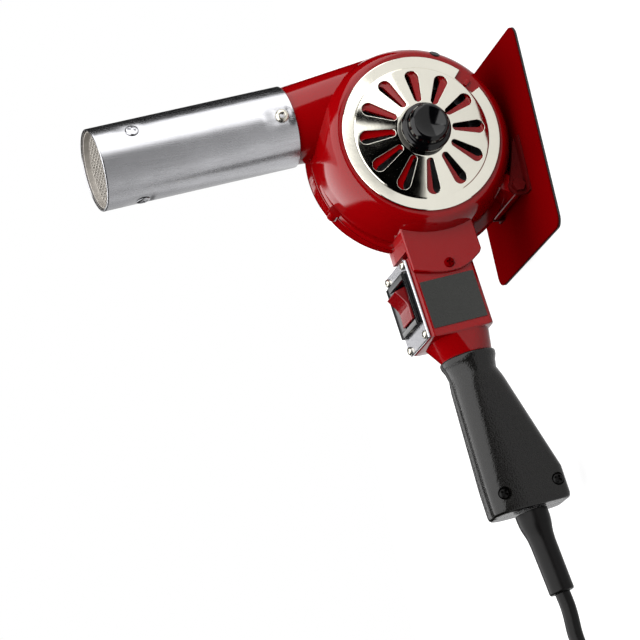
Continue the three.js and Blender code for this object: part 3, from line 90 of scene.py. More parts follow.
# Drum
DRUM_R = 61.0
DRUM_WALL = 2.6
FACE_Y = 36.3
FACE_R = 51.0
SHOULDER = 26.0
CONE_IN_R = 17.0
CONE_OUT_R = 41.5
CONE_RISE = 6.0
FAR_Y = 28.0
FAR_FACE_R = 46.0
FAR_SHOULDER = 16.0
DRUM_DRAFT = 0.5
RIM_AT = Vector((-2.5, 0.0, -2.5))
RIM_DRAFT = 0.35
NEAR_RIM_R = 63.4
NEAR_RIM = 4.0
FAR_RIM_R = 64.0
FAR_RIM = 4.5
LUG_ANGLES = (245, 35)
LUG_AT = 62.0
LUG_R = 4.0
LUG_BORE = 3.4
HINGE_AT = Vector((-43.0, 0.0, -52.5))
HINGE_R = 5.0
HINGE_HALF = 24.0
UNDER_GAP = 3.45
PLUG_HOLE_AT = Vector((54.9, -34.2, 0.0))
PLUG_HOLE_TILT = 42
PLUG_HOLE_ANGLE = 28
PLUG_HOLE_R = 3.4
PLUG_HOLE_DEEP = 5.6
MOTOR_HOLE_R = 20.0
NOZZLE_RISE = 34.0
NECK_FROM = 10.0
NECK_HALF_X = 26.5
NECK_HALF_Y = 29.5
NECK_CORNER = 20.0
NECK_OFF = 3.5
NECK_WALL = 2.4
SPIGOT_R = 23.9
SPIGOT_IN = 21.5
SPIGOT_END = 76.0
COLLAR_TOP = -50.6
COLLAR_HALF = 25.0
COLLAR_EDGE = 0.9

# Shutter, with its slots as centre, radius and first angle of each round end
SLOTS = 12
SLOT_ENDS = ((20.4, 2.4, 90), (35.5, 4.3, -90))
SHUTTER_Y = -36.8
SHUTTER_TURN = 7
NOTCH_R = 42.8
NOTCH_FROM = 47.1
NOTCH_TO = 65.9
STOP_ANGLE = 57
KNOB_BASE = -44.15
KNOB_RISE = 14.15
KNOB_RIM_R = 9.7
KNOB_DISH = 2.8

# Barrel and its screen
BARREL_R = 25.4
BARREL_IN = 24.2
BARREL_START = 69.0
TIP = 192.7
REAR_SCREW_Z = 77.0
FRONT_SCREW_Z = 168.7
REAR_SCREWS = (0, 180)
FRONT_SCREWS = (-30, 90, 210)
REAR_DIMPLE = 0.8
FRONT_DIMPLE = 0.45
SCREEN_DEEP = 5.0
SCREEN_LIP = 1.2
SKIRT_L = 24.0
WIRE_PITCH = 2.4
WIRE_R = 0.33
WIRE_WAVE = 0.3

# Screw heads by radius and height
REAR_HEAD = (4.2, 1.7)
FRONT_HEAD = (4.2, 0.9)
PLATE_HEAD = (2.6, 1.7)
BODY_HEAD = (3.1, 1.7)
GRIP_HEAD = (3.8, 2.4)

# Switch housing, switch and label
HOUSING_TOP = -66.0
HOUSING_FRONT = 29.3
HOUSING_BACK = -12.0
HOUSING_HALF = 22.0
HOUSING_CORNER = 3.0
TENON_R = 10.5
TENON_END = -159.0
LABEL_X = (-116.0, -86.5)
LABEL_Z = (-9.0, 26.0)
LABEL_T = 0.5
COLLAR_SCREW_AT = (-79.2, -COLLAR_HALF - SEAT, 4.7)
PLATE_Z = HOUSING_FRONT + SEAT
PLATE_X = -95.0
PLATE_T = 1.5
PLATE_SCREW_X = 22.3
PLATE_SCREW_Y = 17.8
SWITCH_X = -93.0
BEZEL_Z = 31.1
RAIL_HALF = 16.2
ROCKER_Z = 28.1
ROCKER_HALF = 10.0
ROCKER_RISE = 5.4
ROCKER_BEND = 0.5
ROCKER_SLOPE = 18
ROCKER_REST = 14

# Grip, with its screws by z and extra depth
GRIP_TOP = -133.5
GRIP_END = -234.0
HANDLE_Z = 4.0
GRIP_END_Z = -3.4
GRIP_BORE = 10.8
GRIP_POINTS = 72
SEAM = 1.8
CROWN_FROM = 0.1
CROWN_R = 3.4
CROWN_FLAT = 0.6
GRIP_SCREWS = ((13.0, 1.6), (-21.7, 0.0))
GRIP_SCREW_X = -222.0
GRIP_SEAT_Y = -12.3
GRIP_SEAT_R = 4.1

# Far side and stand
COVER_Y = 62.15
COVER_R = 40.0
COVER_SCREW_R = 30.0
VENTS = 8
VENT_AT = 20.5
VENT_HALF = 5.5
VENT_R = 2.0
STAND_HALF_X = 64.9
STAND_HALF_Y = 63.2
STAND_CORNER = 7.0
HINGE_PARTS = ("stand_ear_near", "stand_ear_far", "hinge_bolt", "hinge_nut")
PLUG_PINS = ("plug_blade_1", "plug_blade_2", "plug_ground_pin")

# Studio light in panels, each a level and its sides: the way a side faces, where it cuts and how softly
SOFT = 0.03
OVERHEAD = (3.5, (
    ((-0.752, -0.272, 0.599), 0.0, SOFT), ((0.771, -0.162, 0.615), 0.0, SOFT),
    ((0.43, 0.29, 0.855), -0.015, SOFT), ((0.0, -0.454, 0.891), 0.0, SOFT),
))
BESIDE = (2.9, (
    ((0.261, -0.334, -0.906), 0.0, SOFT), ((0.816, -0.047, 0.575), 0.0, SOFT),
    ((-0.245, -0.930, 0.272), -0.26, SOFT), ((0.245, 0.930, -0.272), -0.69, SOFT),
))
BEHIND = (2.6, (((0.2007, 0.929, 0.3112), 0.9984, 0.0006), ((-0.673, 0.0, -0.74), -0.3765, 0.012)))
BELOW = (0.75, (((0.0, 0.0, -1.0), 0.22, SOFT), ((-1.0, 0.0, 0.0), -0.4, 0.08)))
SPREAD = 0.06
FLOOR_GLOW = 0.74
FLOOR_SHINE = 0.47
FLOOR_COLOR = (0.3, 0.3, 0.3, 1)
FLOOR_CORNERS = ((-0.62, -0.33), (0.3, -0.33), (0.3, 0.42), (-0.62, 0.42))

SIDES = 144


def srgb(r, g, b):
    def linear(c):
        c = c / 255
        return c / 12.92 if c <= 0.04045 else ((c + 0.055) / 1.055) ** 2.4

    return (linear(r), linear(g), linear(b), 1.0)


# Meshes
def turned(profile, sides=SIDES, closed=False):
    """A solid turned about Y, from points of radius and y that end on the axis or close up."""
    bm = bmesh.new()
    rings = []
    for r, y in profile:
        if r < 1e-6:
            rings.append([bm.verts.new((0, y, 0))])
        else:
            angles = [2 * math.pi * i / sides for i in range(sides)]
            rings.append([bm.verts.new((r * math.cos(a), y, -r * math.sin(a))) for a in angles])
    for a, b in zip(rings, rings[1:] + ([rings[0]] if closed else [])):
        for i in range(sides):
            j = (i + 1) % sides
            if len(a) == 1:
                bm.faces.new((a[0], b[j], b[i]))
            elif len(b) == 1:
                bm.faces.new((a[i], a[j], b[0]))
            else:
                bm.faces.new((a[i], a[j], b[j], b[i]))
    bmesh.ops.recalc_face_normals(bm, faces=bm.faces)
    return bm


def rod(radius, y0, y1, sides=48):
    return turned([(0, y0), (radius, y0), (radius, y1), (0, y1)], sides)


def loft(rings, closed=False):
    """A solid skinned over rings of equal counts, capped at both ends or closed on itself."""
    bm = bmesh.new()
    rows = [[bm.verts.new(p) for p in ring] for ring in rings]
    count = len(rows[0])
    for a, b in zip(rows, rows[1:] + ([rows[0]] if closed else [])):
        for i in range(count):
            j = (i + 1) % count
            bm.faces.new((a[i], a[j], b[j], b[i]))
    if not closed:
        bm.faces.new(rows[0][::-1])
        bm.faces.new(rows[-1])
    bmesh.ops.recalc_face_normals(bm, faces=bm.faces)
    return bm


def prism(outline, y0, y1):
    return loft([[(x, y, z) for x, z in outline] for y in (y0, y1)])


def box(x0, x1, y0, y1, z0, z1):
    return prism([(x0, z0), (x1, z0), (x1, z1), (x0, z1)], y0, y1)


def round_rect(half_a, half_b, corner, steps=8):
    """Points round a rectangle with rounded corners."""
    points = []
    r = min(corner, 0.995 * half_a, 0.995 * half_b)
    for side in range(4):
        for i in range(steps + 1):
            angle = (side + i / steps) * math.pi / 2
            b = (1 if side in (0, 3) else -1) * (half_b - r)
            a = (1 if side < 2 else -1) * (half_a - r)
            points.append((a + r * math.sin(angle), b + r * math.cos(angle)))
    return points


def across_x(x, z, half_z, half_y, corner, steps=8):
    """A rounded rectangle square to X."""
    return [(x, b, z + a) for a, b in round_rect(half_z, half_y, corner, steps)]


def across_z(x, z, half_x, half_y, corner, steps=8):
    """A rounded rectangle square to Z."""
    return [(x + a, b, z) for a, b in round_rect(half_x, half_y, corner, steps)]


def soften(bm, width, segments=3, least=30):
    """The solid with its edges rounded where they turn by more than the least angle."""
    angle = math.radians(least)
    edges = [e for e in bm.edges if len(e.link_faces) == 2 and e.calc_face_angle(0) > angle]
    bmesh.ops.bevel(
        bm, geom=edges, offset=width, segments=segments, profile=0.5, affect="EDGES",
        clamp_overlap=True,
    )
    return bm


def moved(bm, matrix):
    bm.transform(matrix)
    return bm


def shift(x, y, z):
    return Matrix.Translation((x, y, z))


def spin(degrees, axis):
    return Matrix.Rotation(math.radians(degrees), 4, axis)


def together(parts):
    whole = bmesh.new()
    for bm in parts:
        mesh = bpy.data.meshes.new("part")
        bm.to_mesh(mesh)
        whole.from_mesh(mesh)
        bpy.data.meshes.remove(mesh)
        bm.free()
    return whole


def scratch(bm):
    mesh = bpy.data.meshes.new("scratch")
    bm.to_mesh(mesh)
    bm.free()
    obj = bpy.data.objects.new("scratch", mesh)
    scene.collection.objects.link(obj)
    return obj


def boolean(base, tools, how="DIFFERENCE"):
    target = scratch(base)
    others = [scratch(tool) for tool in tools]
    for other in others:
        step = target.modifiers.new("step", "BOOLEAN")
        step.operation = how
        step.solver = "MANIFOLD"
        step.object = other
    graph = bpy.context.evaluated_depsgraph_get()
    result = bmesh.new()
    result.from_mesh(target.evaluated_get(graph).to_mesh())
    for obj in (target, *others):
        mesh = obj.data
        bpy.data.objects.remove(obj)
        bpy.data.meshes.remove(mesh)
    return result


def piece(name, bm, mat, nodes=(), body="gun", matrix=GUN, sharp=32):
    bm.transform(matrix)
    mesh = bpy.data.meshes.new(name)
    bm.to_mesh(mesh)
    bm.free()
    mesh.shade_smooth()
    mesh.set_sharp_from_angle(angle=math.radians(sharp))
    mesh.materials.append(mat)
    obj = bpy.data.objects.new(name, mesh)
    scene.collection.objects.link(obj)
    normals = obj.modifiers.new("normals", "WEIGHTED_NORMAL")
    normals.keep_sharp = True
    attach(obj, body)
    if nodes:
        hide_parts(*nodes)
    return obj


# Materials
class Nodes:
    def __init__(self, name):
        self.mat = bpy.data.materials.new(name)
        self.mat.use_nodes = True
        self.tree = self.mat.node_tree
        self.shader = self.tree.nodes["Principled BSDF"]

    def add(self, kind, **values):
        node = self.tree.nodes.new(kind)
        for key, value in values.items():
            setattr(node, key, value)
        return node

    def join(self, source, target):
        self.tree.links.new(source, target)

    def coordinates(self, stretch=(1, 1, 1), lean=0.0):
        place = self.add("ShaderNodeTexCoord")
        mapping = self.add("ShaderNodeMapping")
        mapping.inputs["Scale"].default_value = stretch
        mapping.inputs["Rotation"].default_value = (0, lean, 0)
        self.join(place.outputs["Object"], mapping.inputs["Vector"])
        return mapping.outputs["Vector"]

    def noise(self, vector, scale, detail=4.0, rough=0.55):
        node = self.add("ShaderNodeTexNoise")
        node.inputs["Scale"].default_value = scale
        node.inputs["Detail"].default_value = detail
        node.inputs["Roughness"].default_value = rough
        self.join(vector, node.inputs["Vector"])
        return node.outputs["Fac"]

    def cells(self, vector, scale):
        node = self.add("ShaderNodeTexVoronoi")
        node.inputs["Scale"].default_value = scale
        self.join(vector, node.inputs["Vector"])
        return node.outputs["Distance"]

    def between(self, value, low, high):
        node = self.add("ShaderNodeMapRange")
        node.inputs["From Min"].default_value = 0.3
        node.inputs["From Max"].default_value = 0.7
        node.inputs["To Min"].default_value = low
        node.inputs["To Max"].default_value = high
        self.join(value, node.inputs["Value"])
        return node.outputs["Result"]

    def tint(self, value, dark, light):
        node = self.add("ShaderNodeValToRGB")
        node.color_ramp.elements[0].position = 0.3
        node.color_ramp.elements[0].color = dark
        node.color_ramp.elements[1].position = 0.7
        node.color_ramp.elements[1].color = light
        self.join(value, node.inputs["Fac"])
        return node.outputs["Color"]

    def bump(self, height, strength, distance):
        node = self.add("ShaderNodeBump")
        node.inputs["Strength"].default_value = strength
        node.inputs["Distance"].default_value = distance
        self.join(height, node.inputs["Height"])
        self.join(node.outputs["Normal"], self.shader.inputs["Normal"])
        return node

    def round_edges(self, radius, bump):
        node = self.add("ShaderNodeBevel", samples=6)
        node.inputs["Radius"].default_value = radius
        self.join(node.outputs["Normal"], bump.inputs["Normal"])

    def set(self, **values):
        for key, value in values.items():
            self.shader.inputs[key.replace("_", " ")].default_value = value


def shade(color, factor):
    return tuple(c * factor for c in color[:3]) + (1.0,)


def finish(name, color, rough, vary=0.08, patch=30.0, grain=600.0, relief=0.0, depth=0.0002,
           cells=False, stretch=(1, 1, 1), lean=0.0, edge=0.0, **values):
    """A surface whose colour, roughness and relief vary, with feature scales per metre."""
    made = Nodes(name)
    plain = made.coordinates()
    fine = made.coordinates(stretch, lean)
    mottle = made.noise(plain, patch)
    colors = made.tint(mottle, shade(color, 1 - vary), shade(color, 1 + vary))
    made.join(colors, made.shader.inputs["Base Color"])
    texture = made.noise(fine, grain)
    made.join(made.between(texture, rough[0], rough[1]), made.shader.inputs["Roughness"])
    if relief:
        height = made.cells(fine, grain) if cells else texture
        bump = made.bump(height, relief, depth)
        if edge:
            made.round_edges(edge, bump)
    made.set(**values)
    return made.mat


RED = srgb(122, 1, 4)
paint = finish(
    "red_paint", RED, (0.07, 0.11), vary=0.04, patch=18, grain=300, relief=0.012, depth=0.0003,
    Specular_IOR_Level=0.28,
)
# Matte red steel for the stand plate and collar screw. The matte, unreflective finish is real. The base
# is a darker copy of the paint, and that darkening is painted shade for the shade the drum casts on
# them
red_steel = finish(
    "red_steel", shade(RED, 0.56), (0.45, 0.6),
    vary=0.06, patch=22, grain=320, relief=0.02, depth=0.0003, Specular_IOR_Level=0.0,
)
# Hinge ears, bolt and nut in a much darker copy of the red paint: painted shade for the shadow they sit
# in between the drum and the stand plate
shaded_bracket_red = finish(
    "shaded_bracket_red", shade(RED, 0.3), (0.45, 0.6),
    vary=0.1, patch=60, grain=320, relief=0.02, depth=0.0003, Specular_IOR_Level=0.1,
)
barrel_steel = finish(
    "barrel_steel", srgb(174, 174, 177), (0.2, 0.3),
    vary=0.06, patch=60, grain=1, relief=0.06, depth=0.0001, stretch=(1300, 1300, 9), lean=LEAN,
    Metallic=1.0,
)
chrome = finish(
    "chrome", srgb(216, 213, 201), (0.05, 0.09),
    vary=0.02, patch=70, grain=130, relief=0.03, depth=0.0004, edge=0.0004, Metallic=1.0,
)
plate_steel = finish(
    "plate_steel", srgb(196, 196, 201), (0.2, 0.28),
    vary=0.04, patch=90, grain=1, relief=0.012, depth=0.0001, stretch=(60, 2600, 2600), Metallic=1.0,
)
zinc = finish(
    "zinc", srgb(196, 192, 180), (0.2, 0.36),
    vary=0.12, patch=300, grain=1200, relief=0.08, depth=0.0001, Metallic=1.0,
)
mesh_wire = finish(
    "mesh_wire", srgb(152, 147, 140), (0.4, 0.6),
    vary=0.15, patch=300, grain=1200, relief=0.1, depth=0.0001, Metallic=0.35,
)
wheel_metal = finish(
    "wheel_metal", srgb(96, 96, 98), (0.35, 0.55),
    vary=0.15, patch=120, grain=900, relief=0.1, Metallic=1.0,
)
core_iron = finish(
    "core_iron", srgb(105, 104, 104), (0.4, 0.6),
    vary=0.2, patch=200, grain=1, relief=0.5, depth=0.0002, stretch=(30, 2200, 30), Metallic=1.0,
)
brass = finish(
    "brass", srgb(205, 178, 108), (0.22, 0.38), vary=0.1, patch=250, grain=1100, Metallic=1.0,
)
copper = finish(
    "copper", srgb(176, 96, 56), (0.3, 0.5), vary=0.2, patch=200, grain=1, relief=0.6, depth=0.0004,
    stretch=(200, 1800, 1800), Metallic=1.0,
)
phenolic = finish(
    "phenolic", srgb(3, 3, 4), (0.1, 0.15), vary=0.2, patch=90, grain=700, relief=0.01, depth=0.0002,
    Specular_IOR_Level=0.28,
)
grip_black = finish(
    "grip_black", srgb(13, 12, 11), (0.21, 0.31),
    vary=0.3, patch=400, grain=900, relief=0.3, depth=0.0003, cells=True, Specular_IOR_Level=0.28,
)
bezel_black = finish(
    "bezel_black", srgb(8, 8, 10), (0.08, 0.13), vary=0.2, patch=150, grain=1200, relief=0.01,
    Specular_IOR_Level=0.5,
)
label_film = finish(
    "label_film", srgb(25, 26, 23), (0.25, 0.36),
    vary=0.07, patch=160, grain=1600, relief=0.05, depth=0.0001,
)
red_plastic = finish(
    "red_plastic", srgb(108, 3, 7), (0.14, 0.22),
    vary=0.05, patch=120, grain=900, relief=0.02, depth=0.0002,
)
rubber = finish(
    "rubber", srgb(6, 5, 5), (0.28, 0.4), vary=0.2, patch=140, grain=1100, relief=0.1,
    Specular_IOR_Level=0.13,
)
pad_rubber = finish(
    "pad_rubber", srgb(18, 18, 19), (0.6, 0.75), vary=0.2, patch=200, grain=1500, relief=0.3,
)
strap = finish(
    "strap", srgb(26, 26, 28), (0.7, 0.85), vary=0.25, patch=500, grain=2200, relief=0.5, cells=True,
)
ceramic = finish(
    "ceramic", srgb(220, 212, 194), (0.7, 0.85), vary=0.08, patch=200, grain=1500, relief=0.2,
)
mica = finish("mica", srgb(170, 150, 116), (0.35, 0.55), vary=0.2, patch=160, grain=500, relief=0.15)

SLOT_FINISH = {
    "red_paint": paint, "red_steel": red_steel, "barrel_steel": barrel_steel, "chrome": chrome,
    "zinc": zinc, "wheel_metal": wheel_metal, "core_iron": core_iron, "brass": brass, "copper": copper,
    "phenolic": phenolic, "black_plastic": bezel_black, "red_plastic": red_plastic, "rubber": rubber,
    "ceramic": ceramic, "mica": mica,
}


# Camera and lead
def camera():
    data = bpy.data.cameras.new("camera")
    data.lens = CAMERA_LENS
    data.sensor_width = 36.0
    data.sensor_fit = "HORIZONTAL"
    data.clip_end = 30.0
    obj = bpy.data.objects.new("camera", data)
    scene.collection.objects.link(obj)
    back = CAMERA_RIGHT.cross(CAMERA_UP)
    turn = Matrix((CAMERA_RIGHT, CAMERA_UP, back)).transposed()
    obj.matrix_world = Matrix.Translation(CAMERA_AT) @ turn.to_4x4()
    scene.camera = obj


def smoothstep(x, low, high):
    t = min(1.0, max(0.0, (x - low) / (high - low)))
    return t * t * (3 - 2 * t)


def coil_points():
    half = COIL_TURNS / 2
    points = []
    steps = COIL_TURNS * COIL_STEPS
    for i in range(steps + 1):
        s = i / steps * COIL_TURNS
        r = COIL_OUT_R - COIL_PITCH * (half - abs(s - half))
        a = -math.pi / 2 - 2 * math.pi * s
        z = COIL_LOW + COIL_PITCH * smoothstep(s, half - 0.25, half + 0.25)
        points.append(Vector((COIL_X + r * math.cos(a), COIL_Y + r * math.sin(a), z)))
    first = points[0] + (points[0] - points[1]).normalized() * 2 * CORD_R
    last = points[-1] + (points[-1] - points[-2]).normalized() * 2 * CORD_R
    return [first, *points, last]


def cord_path():
    out = Vector((-math.cos(RELIEF_TILT), 0.0, -math.sin(RELIEF_TILT)))
    start = (GUN @ (RELIEF_AT + out * (RELIEF_L + FIT))) / MM
    run = (GUN.to_3x3() @ out).normalized()
    coil = coil_points()
    into = (coil[0] - coil[1]).normalized()
    away = (coil[-1] - coil[-2]).normalized()
    plug = PLUG_AT - Vector((0.0, FIT, 0.0))
    return [
        start, start + run * 2 * CORD_R, *[Vector(p) for p in LEAD_ROUTE], coil[0] + into * 2 * CORD_R,
        *coil, coil[-1] + away * 2 * CORD_R, *[Vector(p) for p in TAIL_ROUTE],
        plug - Vector((0.0, 2 * CORD_R, 0.0)), plug,
    ]


def mains_lead():
    points = [p * MM for p in cord_path()]
    curve = bpy.data.curves.new("mains_lead", "CURVE")
    curve.dimensions = "3D"
    curve.resolution_u = 6
    curve.bevel_depth = CORD_R * MM
    curve.bevel_resolution = 6
    curve.use_fill_caps = True
    spline = curve.splines.new("BEZIER")
    spline.bezier_points.add(len(points) - 1)
    for knot, point in zip(spline.bezier_points, points):
        knot.co = point
        knot.handle_left_type = "AUTO"
        knot.handle_right_type = "AUTO"
    curve.materials.append(rubber)
    obj = bpy.data.objects.new("mains_lead", curve)
    scene.collection.objects.link(obj)
    bpy.context.view_layer.update()
    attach(obj, "gun")
    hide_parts("cord_lead", "cord_coil", "cord_tail")
    return obj, points[0], spline.calc_length()


def cord_strap():
    """A flat strap round the turns of the coil, with its end lapped on top."""
    inside, outside, low, high, thick, wide = 33.4, 65.2, 0.9, 21.1, 0.8, 6.0
    mid_x, mid_z = (inside + outside) / 2, (low + high) / 2
    half_x, half_z = (outside - inside) / 2, (high - low) / 2
    rings = []
    for grow, y in ((thick, -wide), (thick, wide), (0, wide), (0, -wide)):
        loop = round_rect(half_x + grow, half_z + grow, 3 + grow, 6)
        rings.append([(mid_x + a, y, mid_z + b) for a, b in loop])
    lap = soften(box(mid_x - 9, mid_x + 11, -wide, wide, high + thick, high + 2 * thick), 0.3)
    whole = together([soften(loft(rings, closed=True), 0.25, 2), lap])
    place = BENCH @ shift(COIL_X, COIL_Y, 0) @ spin(60, "Z")
    return piece("cord_strap", whole, strap, ["cord_tie"], matrix=place)


def mains_plug():
    """A round neck that widens to a body with two finger grooves, by x, half z, half y and corner."""
    stations = (
        (0, 6.2, 6.2, 6.2), (-0.8, 7, 7, 7), (-9, 7.6, 7.6, 7.6), (-13, 8.6, 9.6, 8),
        (-17, 10.6, 12.8, 7), (-20, 11.4, 13.9, 6), (-24, 10.6, 13.2, 6), (-26, 10.6, 13.2, 6),
        (-28, 11.4, 13.9, 6), (-30, 10.6, 13.2, 6), (-32, 10.6, 13.2, 6), (-34, 11.5, 14, 6),
        (-37.3, 11.5, 14, 6), (-38, 10.9, 13.4, 5.4),
    )
    body = loft([across_x(x, 0, *size) for x, *size in stations])
    place = BENCH @ Matrix.Translation(PLUG_AT) @ spin(-90, "Z")
    return piece("plug_moulding", body, rubber, ["plug_body"], matrix=place, sharp=50)


# Red castings
def quarter(r, y, dr, dy, steps=14):
    """A quarter round of a profile, from square to the axis to along it."""
    angles = [i / steps * math.pi / 2 for i in range(1, steps + 1)]
    return [(r + dr * math.sin(a), y + dy * (1 - math.cos(a))) for a in angles]


def drum(wall):
    """The drum's outside, or with a wall its inside."""
    near, far = -FACE_Y + wall, FAR_Y - wall
    face_r = FACE_R - wall / 2
    far_shoulder = quarter(FAR_FACE_R - wall, far, DRUM_R - FAR_FACE_R, wall - FAR_SHOULDER)
    return turned([
        (0, near - CONE_RISE), (CONE_IN_R, near - CONE_RISE), (CONE_OUT_R, near), (face_r, near),
        *quarter(face_r, near, DRUM_R - DRUM_DRAFT - FACE_R - wall / 2, SHOULDER - wall),
        (DRUM_R - wall, 0), *reversed(far_shoulder), (FAR_FACE_R - wall, far), (0, far),
    ])


def neck(wall, steps=12, corner_steps=14):
    """The run from the drum to the round spigot, or with a wall its inside."""
    root = round_rect(NECK_HALF_X - wall, NECK_HALF_Y - wall, NECK_CORNER - wall, corner_steps)
    end = round_rect(SPIGOT_R - wall, SPIGOT_R - wall, SPIGOT_R - wall, corner_steps)
    rings = []
    for k in range(steps + 1):
        t = k / steps
        z = NECK_FROM + (BARREL_START - NECK_FROM) * t
        ring = []
        for (a0, b0), (a1, b1) in zip(root, end):
            x = NOZZLE_RISE - a0 - (a1 - a0) * t
            ring.append((x, (b0 - NECK_OFF) * (1 - t) + b1 * t, z))
        rings.append(ring)
    return loft(rings)


def spigot(radius, z0, z1):
    """A round bar along the barrel's axis."""
    return moved(rod(radius, z0, z1, 96), shift(NOZZLE_RISE, 0, 0) @ spin(90, "X"))


def rim(radius, y0, y1):
    """A flange of the casting, drafted towards its outer side."""
    edge, bulge = 0.5, 0.15
    low, high = (radius - RIM_DRAFT, radius) if y0 < 0 else (radius, radius - RIM_DRAFT)
    profile = [
        (0, y0), (low - edge, y0), (low - bulge, y0 + bulge), (low, y0 + edge), (high, y1 - edge),
        (high - bulge, y1 - bulge), (high - edge, y1), (0, y1),
    ]
    return moved(turned(profile), Matrix.Translation(RIM_AT))


def collar():
    """The near wall with the front, and the far wall, whose front stands back."""
    low = [
        (-79, 28), (-80.4, 24), (-82.4, 17), (-83.8, 10), (-84.3, 5), (-84.3, -1), (-83.2, -5.5),
        (-80.8, -11),
    ]
    rear = [(-77.2, -16.6), (-75, -18), (COLLAR_TOP, -18)]
    near = prism([(COLLAR_TOP, 28), *low, *rear], -COLLAR_HALF, 9)
    front = [(COLLAR_TOP, 24.3), (-66, 13.4), (-79, 13.4), (-82.6, 13.2)]
    far = prism([*front, *low[3:], *rear], 7, COLLAR_HALF)
    return [soften(wall, COLLAR_EDGE, 3, 45) for wall in (near, far)]


def at_lugs(radius, y0, y1):
    places = [spin(angle, "Y") @ shift(LUG_AT, 0, 0) for angle in LUG_ANGLES]
    return [moved(rod(radius, y0, y1, 32), place) for place in places]


def slot_tools(first, y0, y1, steps=12):
    """Tapered bars with round ends that cut the ring of slots."""
    outline = []
    for centre, radius, start in SLOT_ENDS:
        for i in range(steps + 1):
            a = math.radians(start + 180 / steps * i)
            outline.append((centre + radius * math.cos(a), radius * math.sin(a)))
    pitch = 360 / SLOTS
    return [moved(prism(outline, y0, y1), spin(first + pitch * k, "Y")) for k in range(SLOTS)]


def hinge_boss():
    """The round boss of the stand's hinge and the web that joins it to the drum."""
    boss = moved(rod(HINGE_R, -HINGE_HALF, HINGE_HALF), Matrix.Translation(HINGE_AT))
    web = box(DRUM_R - DRUM_WALL, HINGE_AT.length, -HINGE_HALF, HINGE_HALF, -HINGE_R, HINGE_R)
    return [boss, moved(web, spin(math.degrees(math.atan2(-HINGE_AT.z, HINGE_AT.x)), "Y"))]


def castings():
    outer = boolean(drum(0), [
        neck(0), spigot(SPIGOT_R, BARREL_START - 0.5, SPIGOT_END), *collar(), *hinge_boss(),
        rim(NEAR_RIM_R, -NEAR_RIM, 0), rim(FAR_RIM_R, 0, FAR_RIM), *at_lugs(LUG_R, -NEAR_RIM, FAR_RIM),
    ], "UNION")
    under = moved(box(-SPAN, SPAN, -SPAN, SPAN, -SPAN, UNDER_GAP), BENCH)
    half = HOUSING_HALF + FIT
    pocket = box(-86, HOUSING_TOP + FIT, -half, half, HOUSING_BACK - FIT, 30)
    whole = boolean(outer, [
        drum(DRUM_WALL), neck(NECK_WALL), spigot(SPIGOT_IN, BARREL_START - 1, SPIGOT_END + 1), pocket,
        moved(under, GUN.inverted()), *at_lugs(LUG_BORE, FAR_RIM, FAR_Y),
    ])
    halves = []
    for y0, y1 in ((-SPAN, -SEAT), (SEAT, SPAN)):
        side = box(-SPAN, SPAN, y0, y1, -SPAN, SPAN)
        halves.append(boolean(whole.copy(), [side], "INTERSECT"))
    whole.free()
    near, far = halves
    stop = moved(soften(box(43.5, 47.5, -38, -35.3, -1.2, 1.2), 0.3), spin(STOP_ANGLE, "Y"))
    plug_at = spin(PLUG_HOLE_ANGLE, "Y") @ Matrix.Translation(PLUG_HOLE_AT)
    plug_place = plug_at @ spin(-90 - PLUG_HOLE_TILT, "Z")
    plug_hole = moved(rod(PLUG_HOLE_R, -PLUG_HOLE_DEEP, SPAN, 32), plug_place)
    near = boolean(boolean(near, [stop], "UNION"), [
        *slot_tools(0, -45, -32), rod(3, -45, -38), plug_hole,
    ])
    far = boolean(far, [rod(MOTOR_HOLE_R, 24, 30, 72)])
    piece("casting_near", near, paint, ["shell_near"])
    piece("casting_far", far, paint, ["shell_far"])
    cap = turned([(0, -5), (3.3, -5), (3.3, -0.3), (3.0, 0.05), (0, 0.4)], 40)
    piece("hole_cap", cap, rubber, ["shoulder_plug"], matrix=GUN @ plug_place)


def shutter():
    """The disc by radius and height above its back, with its slots and the notch for the stop."""
    profile = [
        (2.8, 6), (CONE_IN_R, 6), (CONE_OUT_R - 0.4, 0), (49.0, 0), (49.4, 0.3), (49.4, 0.9),
        (49.0, 1.2), (42.6, 1.2), (42.2, 1.3), (41.8, 1.75), (41.3, 1.9), (29, 4.6),
        (CONE_IN_R + 0.6, 7.15), (CONE_IN_R - 0.4, 7.2), (2.8, 7.2),
    ]
    y = SHUTTER_Y
    disc = turned([(r, y - rise) for r, rise in profile], closed=True)
    beyond = 54
    notch = []
    for r, degrees in (
        (NOTCH_R, NOTCH_FROM), (beyond, NOTCH_FROM), (beyond, NOTCH_TO), (NOTCH_R, NOTCH_TO),
    ):
        a = math.radians(degrees)
        notch.append((r * math.cos(a), -r * math.sin(a)))
    disc = boolean(disc, [*slot_tools(SHUTTER_TURN, y - 9, y + 1), prism(notch, y - 3, y + 1)])
    piece("shutter_plate", disc, chrome, ["shutter_disc"], "shutter", sharp=25)


def knob():
    """A skirt, a step, a drafted wall and a dished top, by radius and height above its base."""
    skirt = [
        (0, 0), (13.8, 0), (14.6, 0.9), (15.2, 2.1), (15.55, 3.3), (15.6, 4.3), (15.5, 5.1),
        (15.1, 6.0), (14.5, 6.6), (13.8, 6.9), (13.2, 7.0), (12.8, 7.2), (12.62, 7.6),
    ]
    wall = [
        (12.5, 9), (12.35, 10.8), (12.1, 12), (11.7, 12.9), (11.1, 13.6), (10.4, 14),
        (KNOB_RIM_R, KNOB_RISE),
    ]
    dish = []
    for r in (8.9, 7.9, 6.7, 5.3, 3.7, 1.9, 0):
        dish.append((r, KNOB_RISE - KNOB_DISH + KNOB_DISH * (r / KNOB_RIM_R) ** 2))
    solid = turned([(r, KNOB_BASE - rise) for r, rise in (*skirt, *wall, *dish)], 96)
    piece("knob", solid, phenolic, ["shutter_knob"], "shutter", sharp=40)


